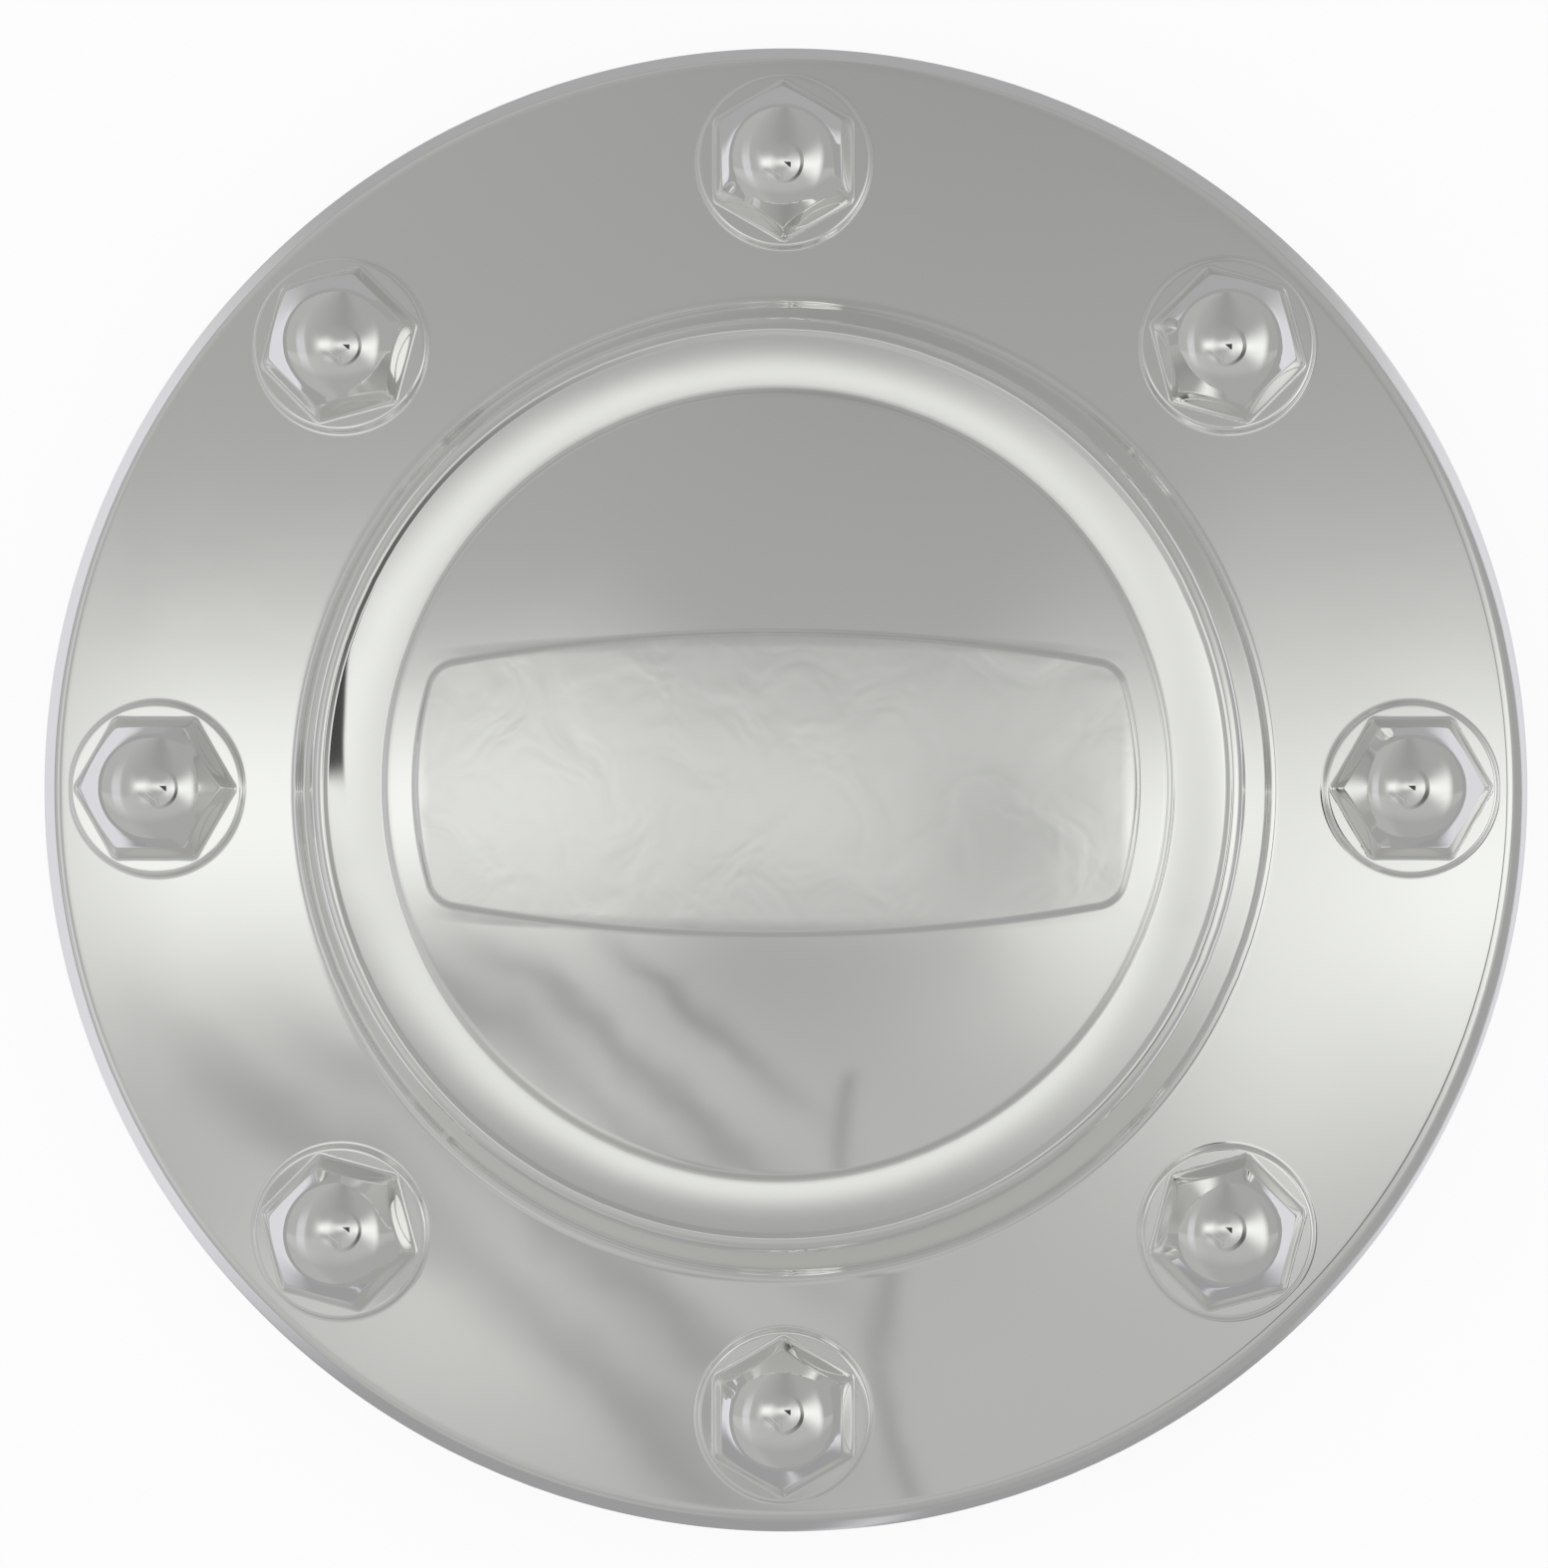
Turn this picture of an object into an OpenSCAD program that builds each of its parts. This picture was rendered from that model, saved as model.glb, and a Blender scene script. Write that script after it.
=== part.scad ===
// Centre cap for an eight-lug wheel: one plated moulding with eight hollow dummy nuts,
// and the sprung wire ring that pushes its legs outwards.
// The cap lies face up on the tips of its legs, with its axis on Z and the rest plane at Z = 0.

/* [Rim and plate] */
// Outer diameter over the rolled rim
rim_d = 228.6; // [224:0.2:250]
// Radial half axis of the elliptical roll at the edge
rim_roll_w = 9.9; // [8.6:0.1:12]
// Vertical half axis of that roll
rim_roll_h = 2.8; // [2.4:0.1:4]
// Slope of the roll where it leaves the plate, in degrees
rim_roll_slope = 12; // [9:0.5:14]
// Height of the straight skirt under the widest line
rim_skirt_h = 1.8; // [0.8:0.1:4]
// Thickness of the skirt at its back edge
rim_skirt_t = 2; // [1.2:0.1:2.5]
// Wall of the moulding
wall_t = 2.5; // [1.8:0.1:2.8]
// Slope of the plate at the rim, in degrees
plate_slope_out = 1.5; // [1:0.1:3]
// Slope of the plate at the foot of the dome, in degrees
plate_slope_in = 0.8; // [-0.5:0.1:0.9]

/* [Dome] */
// Diameter where the foot fillet of the dome meets the plate
dome_base_d = 151; // [146:0.2:153]
// Radius of the foot fillet
dome_fillet_r = 2; // [1:0.1:4]
// Height of the crease above the foot of the dome
dome_h = 12.8; // [11:0.1:18]
// Radial run of the wall from its foot to the crease
wall_run = 8; // [7:0.1:10]
// Radius of the bead that rounds the top of the wall
bead_r = 2.6; // [1.5:0.1:3]
// Slope of the bead where it ends at the crease, in degrees
bead_end_slope = 3; // [0:1:20]
// Slope with which the cove falls inwards from the crease, in degrees
cove_slope_out = 20; // [12:1:30]
// Slope of the cove at the foot of the plateau, in degrees
cove_slope_in = 0; // [-4:1:8]
// Radial width of the cove between the crease and the plateau's step
cove_w = 8.6; // [6:0.1:12]
// Height of the step round the plateau
plateau_step_h = 0.8; // [0.4:0.1:1.5]
// Width of the step round the plateau
plateau_step_w = 0.8; // [0.4:0.1:1.5]
// Radius of the plateau's crown
plateau_crown_r = 600; // [300:10:1200]

/* [Panel] */
// Gap between the ends of the bare raised panel and the plateau's edge
panel_gap = 4; // [3:0.1:12]
// Height of the panel at its middle
panel_h_mid = 45.6; // [30:0.2:60]
// Height of the panel at its ends
panel_h_end = 34.7; // [20:0.1:44]
// Corner radius of the panel
panel_corner_r = 5; // [2:0.5:8]
// Height of the panel above the plateau
panel_raise = 0.8; // [0.4:0.1:1.6]
// Width of the bevel round the panel
panel_bevel_w = 0.9; // [0.4:0.1:2]

/* [Dummy nuts] */
// Number of dummy nuts, and of the legs between them
nut_count = 8; // [5:1:8]
// Pitch circle diameter of the nuts
nut_pcd = 192.2; // [188:0.2:193]
// Diameter of the round flange under each nut
nut_flange_d = 27; // [26:0.2:28]
// Height of the flange above the plate on the pitch circle
nut_flange_h = 1.1; // [0.9:0.1:2.5]
// Radius that rounds the flange's edge
nut_flange_edge_r = 0.8; // [0.3:0.1:0.8]
// Width across the flats of the hexagon at the flange
nut_af_base = 21.1; // [20:0.1:22]
// Width across the flats where the faces meet the crown
nut_af_crown = 18.4; // [17:0.1:19.4]
// Height of the hexagon's faces above the flange
nut_face_h = 3.1; // [2.4:0.1:6]
// Radius of the crown at its tip
nut_crown_r = 10.4; // [8.5:0.1:14]
// Wall of the hollow nut
nut_wall_t = 2.2; // [1.6:0.1:2.5]

/* [Legs] */
// Reach of the legs below the rim's back edge
leg_reach = 13.2; // [12:0.1:25]
// Angle that each leg spans round the axis, in degrees
leg_span = 9; // [6:0.5:12]
// Diameter over the outer faces of the legs
leg_outer_d = 206; // [200:0.5:208]
// Thickness of the legs
leg_t = 2.4; // [1.8:0.1:3]
// Outer diameter of the collar that the legs grow from
collar_d = 210; // [209.6:0.2:214]
// Height of the collar behind the plate
collar_h = 4; // [2:0.1:6]
// Outward reach of the barb near each leg's tip
barb_w = 1.6; // [0.8:0.1:2.4]
// Height of the barb's widest line above the tip
barb_z = 4.2; // [3:0.1:5]
// Height of the barb's lead-in above the tip
tip_h = 0.8; // [0.4:0.1:1.5]
// Thickness of the two gussets behind each leg
gusset_t = 1.6; // [1:0.1:2.4]
// Reach of the gussets from the leg towards the axis
gusset_w = 6; // [3:0.5:10]

/* [Wire ring] */
// Diameter of the spring wire
wire_d = 2.5; // [2:0.1:3]
// Height of the wire's centre above the leg tips
wire_z = 6.2; // [5.4:0.1:7]
// Clearance between the wire and the legs
wire_clearance = 0.1; // [0.05:0.05:0.3]
// Inward reach of the two lips that hold the wire on each leg
lip_w = 1.5; // [1:0.1:2.2]
// Thickness of those lips
lip_t = 1; // [0.6:0.1:1.4]
// Opening between the ring's two ends, in degrees
wire_gap = 12; // [8:1:16]
// Bend radius of the wire at its ends
wire_bend_r = 4; // [3:0.5:6]
// Length of the straight end after each bend
wire_tail = 6; // [3:0.5:12]

/* [Hidden] */
$fn = 96;
ARC_STEPS = 8;
CROWN_STEPS = 7;
ROOT_OVERLAP = 1;
WIRE_LAP = 2;

// Heights of the chain from the leg tips to the panel
rim_r = rim_d / 2;
rim_back_z = leg_reach;
widest_z = rim_back_z + rim_skirt_h;
roll_start = atan(tan(rim_roll_slope) * rim_roll_w / rim_roll_h);
roll_c = [rim_r - rim_roll_w, widest_z];
plate_out = roll_c + [rim_roll_w * sin(roll_start), rim_roll_h * cos(roll_start)];
base_r = dome_base_d / 2;
plate_r = (plate_out.x - base_r) / (sin(plate_slope_out) - sin(plate_slope_in));
plate_c = plate_out - plate_r * [sin(plate_slope_out), cos(plate_slope_out)];
base_z = plate_c.y + plate_r * cos(plate_slope_in);

// Bead and foot fillet, and the wall that touches both
crease = [base_r - wall_run, base_z + dome_h];
bead_c = crease - bead_r * [sin(bead_end_slope), cos(bead_end_slope)];
fillet_c = [base_r, base_z] + dome_fillet_r * [sin(plate_slope_in), cos(plate_slope_in)];
span = fillet_c - bead_c;
draft = atan2(span.y, span.x) + acos((bead_r + dome_fillet_r) / norm(span));

// Cove and plateau
foot_r = crease.x - cove_w;
plateau_r = foot_r - plateau_step_w;
panel_w = 2 * (plateau_r - panel_gap);
cove_r = cove_w / (sin(cove_slope_out) - sin(cove_slope_in));
cove_c = crease + cove_r * [-sin(cove_slope_out), cos(cove_slope_out)];
foot_z = cove_c.y - cove_r * cos(cove_slope_in);
plateau_z = foot_z + plateau_step_h;
crown_c = plateau_z - sqrt(pow(plateau_crown_r, 2) - pow(plateau_r, 2));

// Nuts
nut_z = plate_z(nut_pcd / 2) + nut_flange_h;
nut_taper = (nut_af_base - nut_af_crown) / 2 / nut_face_h;
nut_tip_z = nut_z + nut_face_h + pow(nut_af_crown / 2, 2) / (2 * nut_crown_r);

// Legs and wire
leg_r = leg_outer_d / 2;
leg_in_r = leg_r - leg_t;
collar_r = collar_d / 2;
collar_z = plate_z(collar_r) - wall_t - collar_h;
wire_r = leg_in_r - wire_d / 2 - wire_clearance;
lip_half = wire_d / 2 + wire_clearance;
leg_top_z = plate_z(leg_r) - wall_t + ROOT_OVERLAP;
gusset_z = wire_z + lip_half + lip_t;

// Height of the plate's upper face at a radius
function plate_z(r) = plate_c.y + sqrt(pow(plate_r, 2) - pow(r - plate_c.x, 2));

// Points on an arc from one angle to another, measured from the radial direction
function arc(c, r, from, to, steps = ARC_STEPS) =
    [for (i = [0:steps]) let (a = from + (to - from) * i / steps) c + r * [cos(a), sin(a)]];

// Points on a quarter of an ellipse, from an angle off its top down to its side
function roll(c, w, h, from) =
    [for (i = [0:ARC_STEPS]) let (a = from + (90 - from) * i / ARC_STEPS) c + [w * sin(a), h * cos(a)]];

// Slope at which the cove, set back by a depth, reaches the bead
function cove_end(depth) =
    depth == 0 ? cove_slope_out : asin((bead_c.x - cove_c.x) / (cove_r + depth));

// Half section of the moulding's face, from the axis out to the widest line, set back by a depth
function face_line(depth) = concat(
    arc([0, crown_c], plateau_crown_r - depth, 90, 90 - asin((plateau_r - depth / 2) / plateau_crown_r)),
    arc(cove_c, cove_r + depth, cove_slope_in - 90, cove_end(depth) - 90),
    depth == 0 ? arc(bead_c, bead_r, 90 - bead_end_slope, draft)
        : [bead_c + (bead_r - depth) * [cos(draft), sin(draft)]],
    arc(fillet_c, dome_fillet_r + depth, 180 + draft, 270 - plate_slope_in),
    arc(plate_c, plate_r - depth, 90 - plate_slope_in, 90 - plate_slope_out)
);

// Turned body of the moulding: face, rolled rim and the hollow behind them
module shell_body() {
    back_w = rim_roll_w - rim_skirt_t;
    back_start = asin((plate_out.x - roll_c.x) / back_w);
    back_h = (plate_out.y - wall_t - rim_back_z) / cos(back_start);
    skirt_roll = roll([roll_c.x, rim_back_z], back_w, back_h, back_start);
    back = concat(face_line(wall_t), skirt_roll);
    rotate_extrude()
        polygon(concat(
            face_line(0),
            roll(roll_c, rim_roll_w, rim_roll_h, roll_start),
            [[rim_r, rim_back_z]],
            [for (i = [len(back) - 1:-1:0]) back[i]]
        ));
}

// Outline of the panel: long sides and ends bow outwards, corners are round
module panel_outline(inset) {
    bow = (panel_h_mid - panel_h_end) / 2;
    side_r = (pow(panel_w / 2, 2) + pow(bow, 2)) / (2 * bow);
    offset(r = panel_corner_r - inset, $fn = 40)
        offset(delta = -panel_corner_r)
            intersection() {
                translate([0, panel_h_mid / 2 - side_r])
                    circle(r = side_r, $fn = 360);
                translate([0, side_r - panel_h_mid / 2])
                    circle(r = side_r, $fn = 360);
                circle(d = panel_w, $fn = 120);
            }
}

// Raised panel with a bevelled edge, crowned like the plateau under it
module panel() {
    low_z = plateau_z - plateau_step_h / 2;
    intersection() {
        hull() {
            translate([0, 0, low_z])
                linear_extrude(0.01)
                    panel_outline(0);
            translate([0, 0, crown_c + plateau_crown_r + panel_raise + ROOT_OVERLAP])
                linear_extrude(0.01)
                    panel_outline(panel_bevel_w * 2);
        }
        rotate_extrude()
            polygon(concat(
                arc([0, crown_c], plateau_crown_r + panel_raise, 90, 90 - asin(plateau_r / plateau_crown_r)),
                [[plateau_r, low_z], [0, low_z]]
            ));
    }
}

// Solid hexagon with leaning faces, cut to a domed crown
module nut_hexagon() {
    face_top = nut_tip_z - nut_z;
    crown_end = sqrt(2 * nut_crown_r * (face_top + ROOT_OVERLAP));
    intersection() {
        flats(nut_af_base / 2, face_top + ROOT_OVERLAP);
        rotate_extrude()
            polygon(concat(
                [for (i = [0:CROWN_STEPS]) let (r = crown_end * i / CROWN_STEPS)
                    [r, face_top - r * r / (2 * nut_crown_r)]],
                [[0, -ROOT_OVERLAP]]
            ));
    }
}

// Meeting of the three wedges that stand between opposite faces
module flats(half, top) {
    intersection_for (a = [30, 90, 150])
        rotate([0, 0, a])
            rotate([90, 0, 0])
                linear_extrude(nut_flange_d, center = true)
                    polygon([
                        [-half - nut_taper * ROOT_OVERLAP, -ROOT_OVERLAP],
                        [half + nut_taper * ROOT_OVERLAP, -ROOT_OVERLAP],
                        [half - nut_taper * top, top],
                        [-half + nut_taper * top, top]
                    ]);
}

// Round flange with a rounded edge, rooted in the thickness of the plate
module nut_flange() {
    r = nut_flange_d / 2;
    e = nut_flange_edge_r;
    rotate_extrude()
        polygon(concat(
            [[0, -nut_flange_h - wall_t / 2], [0, 0]],
            arc([r - e, -e], e, 90, 0),
            [[r, -nut_flange_h - wall_t / 2]]
        ));
}

// Core that hollows a nut from behind
module nut_core() {
    base_half = nut_af_base / 2 - nut_wall_t;
    top_half = nut_af_crown / 2 - nut_wall_t;
    tip = nut_tip_z - nut_z - nut_wall_t;
    bottom = -nut_flange_h - wall_t - ROOT_OVERLAP;
    rotate_extrude()
        polygon(concat(
            [[0, bottom], [base_half, bottom], [base_half, 0]],
            [for (i = [CROWN_STEPS:-1:0]) let (r = top_half * i / CROWN_STEPS)
                [r, tip - r * r / (2 * nut_crown_r)]]
        ));
}

// Places its children on the pitch circle of the nuts
module at_nuts() {
    for (i = [0:nut_count - 1])
        rotate([0, 0, i * 360 / nut_count])
            translate([nut_pcd / 2, 0, nut_z])
                children();
}

// Places its children halfway between the nuts, turned so that each starts half a span early
module at_legs(angle) {
    for (i = [0:nut_count - 1])
        rotate([0, 0, (i + 0.5) * 360 / nut_count - angle / 2])
            children();
}

// Low collar behind the plate that locates the cap in the wheel
module collar() {
    rotate_extrude()
        polygon([
            [leg_r - leg_t / 2, collar_z],
            [collar_r, collar_z],
            [collar_r, leg_top_z],
            [leg_r - leg_t / 2, leg_top_z]
        ]);
}

// Sprung leg: barb outside, and two lips inside that seat the wire
module leg() {
    lip_r = leg_in_r - lip_w;
    rotate_extrude(angle = leg_span)
        polygon([
            [leg_r, leg_top_z],
            [leg_r, barb_z + barb_w],
            [leg_r + barb_w, barb_z],
            [leg_r - tip_h / 2, 0],
            [leg_in_r + tip_h / 2, 0],
            [leg_in_r, tip_h],
            [leg_in_r, wire_z - lip_half - lip_t - lip_w / 2],
            [lip_r, wire_z - lip_half - lip_t],
            [lip_r, wire_z - lip_half],
            [leg_in_r, wire_z - lip_half],
            [leg_in_r, wire_z + lip_half],
            [lip_r, wire_z + lip_half],
            [lip_r, gusset_z],
            [leg_in_r, gusset_z + lip_w / 2],
            [leg_in_r, leg_top_z]
        ]);
}

// Gusset that stiffens the root of a leg, from the upper lip to the plate
module gusset() {
    translate([0, gusset_t / 2, 0])
        rotate([90, 0, 0])
            linear_extrude(gusset_t)
                polygon([
                    [leg_in_r + leg_t / 2, gusset_z - lip_t / 2],
                    [leg_in_r - lip_w / 2, gusset_z - lip_t / 2],
                    [leg_in_r - gusset_w, leg_top_z],
                    [leg_in_r + leg_t / 2, leg_top_z]
                ]);
}

// The whole plated moulding
module cap_shell() {
    gusset_angle = leg_span - 2 * asin(gusset_t / leg_in_r);
    color("gainsboro")
        difference() {
            union() {
                shell_body();
                panel();
                at_nuts() {
                    nut_hexagon();
                    nut_flange();
                }
                collar();
                at_legs(leg_span)
                    leg();
                at_legs(gusset_angle)
                    gusset();
                at_legs(-gusset_angle)
                    gusset();
            }
            at_nuts()
                nut_core();
        }
}

// End of the wire: a quarter bend towards the axis and a short straight tail
module wire_end() {
    translate([wire_r - wire_bend_r, 0, 0]) {
        rotate_extrude(angle = 90)
            translate([wire_bend_r, 0])
                circle(d = wire_d);
        translate([0, wire_bend_r, 0])
            rotate([0, -90, 0])
                cylinder(h = wire_tail, d = wire_d);
    }
}

// One half of the open ring, from its bent end round to the far side
module wire_half() {
    rotate([0, 0, wire_gap / 2]) {
        rotate_extrude(angle = 180 - wire_gap / 2 + WIRE_LAP)
            translate([wire_r, 0])
                circle(d = wire_d);
        mirror([0, 1, 0])
            wire_end();
    }
}

// Open ring of spring wire, seated between the lips of the legs
module retaining_ring() {
    color("silver")
        translate([0, 0, wire_z]) {
            wire_half();
            mirror([0, 1, 0])
                wire_half();
        }
}

cap_shell();
retaining_ring();
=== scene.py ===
"""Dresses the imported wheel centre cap: a plated moulding with dummy nuts, its legs and its wire ring."""

import logging
from collections.abc import Callable
from dataclasses import dataclass, field
from enum import Enum

import bmesh
import bpy
import numpy as np
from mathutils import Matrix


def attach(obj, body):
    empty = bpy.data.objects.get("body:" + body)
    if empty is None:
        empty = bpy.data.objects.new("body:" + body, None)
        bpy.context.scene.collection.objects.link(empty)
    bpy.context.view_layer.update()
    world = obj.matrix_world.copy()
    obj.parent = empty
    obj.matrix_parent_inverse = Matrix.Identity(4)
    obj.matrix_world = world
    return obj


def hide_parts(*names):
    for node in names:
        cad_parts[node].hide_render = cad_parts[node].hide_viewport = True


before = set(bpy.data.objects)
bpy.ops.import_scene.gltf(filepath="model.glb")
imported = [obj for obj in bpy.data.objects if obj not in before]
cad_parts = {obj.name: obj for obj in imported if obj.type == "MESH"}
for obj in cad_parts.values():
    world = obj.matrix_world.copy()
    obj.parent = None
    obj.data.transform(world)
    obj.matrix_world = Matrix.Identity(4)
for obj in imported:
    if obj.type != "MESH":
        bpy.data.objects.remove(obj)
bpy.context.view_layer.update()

LOG = logging.getLogger("centre_cap")
# A millimetre and the distance of the weld in metres, and how far past a cut, in cuts, a point is kept.
MM = 0.001
WELD = 1e-6
CLEAR = 1.02
FACE, BACK = 0, 1
WHITE = (1.0, 1.0, 1.0, 1.0)


class Slot(Enum):
    """Material slots of the record."""

    CHROME = "chrome_plating"
    SPRING = "spring_steel"


class Rides(Enum):
    """Bodies of the record."""

    ROOT = "root"


def tangent(degrees: float) -> float:
    """Rise over run of a slope."""
    return float(np.tan(np.radians(degrees)))


def upright(degrees: float) -> np.ndarray:
    """Unit step of the section that leans outwards from straight up by an angle."""
    return np.array([np.sin(np.radians(degrees)), np.cos(np.radians(degrees))])


def arc_radius(width: float, outer: float, inner: float) -> float:
    """Radius of an arc: its width over the difference of the sines of its two end slopes."""
    return float(width / (np.sin(np.radians(outer)) - np.sin(np.radians(inner))))


def spaced(start: float, end: float, count: int) -> np.ndarray:
    """Evenly stepped values from start up to, but not with, end."""
    return np.linspace(start, end, count + 1)[:-1]


def stacked(x: object, y: object, z: object) -> np.ndarray:
    """Points from three arrays or numbers that are spread to one shape."""
    return np.stack(np.broadcast_arrays(x, y, z), -1)


def polar(radius: np.ndarray, angle: np.ndarray, z: object) -> np.ndarray:
    """Points at polar places and heights."""
    return stacked(radius * np.cos(angle), radius * np.sin(angle), z)


def turned(grid: np.ndarray, turns: np.ndarray) -> np.ndarray:
    """Copies of a grid of points, turned about the cap's axis.

    Args:
        grid: rows by columns by 3.
        turns: angle of each copy.

    Returns:
        Copies by rows by columns by 3.
    """
    cos, sin = np.cos(turns)[:, None, None], np.sin(turns)[:, None, None]
    x, y, z = np.moveaxis(grid, -1, 0)
    return stacked(x * cos - y * sin, x * sin + y * cos, z)


def arc(centre: np.ndarray, radius: float, start: float, end: float, steps: int) -> np.ndarray:
    """Points on a circle: centre plus radius times the cosine and sine of even steps in degrees."""
    angle = np.radians(np.linspace(start, end, steps + 1))
    return centre + radius * np.stack([np.cos(angle), np.sin(angle)], -1)


def line(start: object, end: object, steps: int) -> np.ndarray:
    """Rows of points evenly spaced on a straight line, both ends included."""
    share = np.linspace(0.0, 1.0, steps + 1)[:, None]
    return (1 - share) * np.asarray(start) + share * np.asarray(end)


def cut_back(points: np.ndarray, cut: float) -> np.ndarray:
    """Shortens a polyline at its end by a length measured along it, without points that touch the cut.

    Args:
        points: rows of points.
        cut: length that is taken off.

    Returns:
        The rows that are left, ending at the point of the cut.
    """
    step = np.linalg.norm(np.diff(points, axis=0), axis=1)
    left = np.append(np.cumsum(step[::-1])[::-1], 0.0)
    end = [np.interp(-cut, -left, points[:, 0]), np.interp(-cut, -left, points[:, 1])]
    return np.vstack([points[left > cut * CLEAR], end])


def joined(parts: list[np.ndarray], cuts: tuple[float, ...], steps: int = 6) -> np.ndarray:
    """Joins polylines and rounds each corner with a quadratic curve between the two points of the cut.

    Args:
        parts: polylines, each starting where the one before it ends.
        cuts: length that each corner takes off both its neighbours, or 0 where they run on smoothly.
        steps: points on each rounded corner.

    Returns:
        One polyline.
    """
    out = parts[0]
    share = np.linspace(0.0, 1.0, steps + 2)[1:-1, None]
    for after, cut in zip(parts[1:], cuts):
        if cut <= 0:
            out = np.vstack([out, after[1:]])
            continue
        head, corner, tail = cut_back(out, cut), out[-1], cut_back(after[::-1], cut)[::-1]
        curve = (1 - share) ** 2 * head[-1] + 2 * share * (1 - share) * corner + share**2 * tail[0]
        out = np.vstack([head, curve, tail])
    return out


def ramp(distance: np.ndarray, blend: float) -> np.ndarray:
    """Zero before a corner and the distance past it, with a parabola of half length blend at the corner."""
    bent = np.clip(distance + blend, 0.0, 2 * blend) ** 2 / (4 * blend)
    return np.where(distance > blend, distance, bent)


def softer(low: np.ndarray, high: np.ndarray, blend: float) -> np.ndarray:
    """The larger of two heights, with a parabola of width blend where they cross."""
    share = np.clip(0.5 + 0.5 * (high - low) / blend, 0.0, 1.0)
    return low + (high - low) * share + blend * share * (1 - share)


@dataclass
class Skin:
    """Grids of points in millimetres that are welded into one mesh."""

    points: list[np.ndarray] = field(default_factory=list)
    faces: list[tuple[np.ndarray, int]] = field(default_factory=list)
    count: int = 0

    def add(self, grid: np.ndarray) -> np.ndarray:
        """Adds points.

        Args:
            grid: points in any arrangement, by 3.

        Returns:
            Their numbers, in the grid's own shape.
        """
        numbers = np.arange(self.count, self.count + grid[..., 0].size).reshape(grid.shape[:-1])
        self.points.append(grid.reshape(-1, 3))
        self.count += numbers.size
        return numbers

    def cover(self, slot: int, *corners: np.ndarray) -> None:
        """Adds faces of one material slot, given each corner's numbers."""
        self.faces.append((np.stack(corners, -1).reshape(-1, len(corners)), slot))

    def sheet(self, grid: np.ndarray, slot: int = FACE) -> np.ndarray:
        """Adds a grid of points whose last column meets the first, and the quads between its neighbours.

        Args:
            grid: rows by columns by 3, or several such grids.
            slot: material slot of the faces.

        Returns:
            The points' numbers, in the grid's own shape.
        """
        numbers = self.add(grid)
        ring = np.concatenate([numbers, numbers[..., :1]], -1)
        left, right = ring[..., :-1], ring[..., 1:]
        self.cover(slot, left[..., :-1, :], right[..., :-1, :], right[..., 1:, :], left[..., 1:, :])
        return numbers

    def fan(self, ring: np.ndarray, centre: object, slot: int = FACE) -> None:
        """Closes a ring of numbered points with triangles to one more point."""
        hub = self.add(np.asarray(centre, float).reshape(1, 3))[0]
        self.cover(slot, ring, np.roll(ring, -1), np.full_like(ring, hub))

    def halve(self, fine: np.ndarray, coarse: np.ndarray) -> None:
        """Joins a ring to one with half as many points: a quad and a triangle for each coarse point.

        Args:
            fine: numbers of the ring with twice the points.
            coarse: numbers of the other ring, which comes after it in the order of rows.
        """
        even, odd, after = fine[0::2], fine[1::2], np.roll(fine[0::2], -1)
        self.cover(FACE, odd, after, np.roll(coarse, -1), coarse)
        self.cover(FACE, even, odd, coarse)

    def build(self, name: str, *materials: bpy.types.Material) -> bpy.types.Object:
        """Welds the grids into one smooth piece with its faces outwards, and puts it in the scene.

        Args:
            name: name of the piece.
            materials: finishes, in the order of the slots.

        Returns:
            The new object, at the origin.
        """
        points = np.vstack(self.points) * MM
        loops = np.concatenate([corners.ravel() for corners, _ in self.faces])
        sizes = np.concatenate([np.full(len(corners), corners.shape[1]) for corners, _ in self.faces])
        slots = np.concatenate([np.full(len(corners), slot) for corners, slot in self.faces])
        mesh = bpy.data.meshes.new(name)
        mesh.vertices.add(len(points))
        mesh.vertices.foreach_set("co", points.ravel())
        mesh.loops.add(len(loops))
        mesh.loops.foreach_set("vertex_index", loops.astype(np.int32))
        mesh.polygons.add(len(sizes))
        mesh.polygons.foreach_set("loop_start", (np.cumsum(sizes) - sizes).astype(np.int32))
        for material in materials:
            mesh.materials.append(material)
        mesh.polygons.foreach_set("material_index", slots.astype(np.int32))
        mesh.update(calc_edges=True)
        weld = bmesh.new()
        weld.from_mesh(mesh)
        bmesh.ops.remove_doubles(weld, verts=weld.verts, dist=WELD)
        bmesh.ops.recalc_face_normals(weld, faces=weld.faces)
        if weld.calc_volume(signed=True) < 0:
            bmesh.ops.reverse_faces(weld, faces=weld.faces)
        weld.to_mesh(mesh)
        weld.free()
        mesh.polygons.foreach_set("use_smooth", np.ones(len(mesh.polygons), bool))
        mesh.update()
        piece = bpy.data.objects.new(name, mesh)
        bpy.context.scene.collection.objects.link(piece)
        return piece


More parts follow.
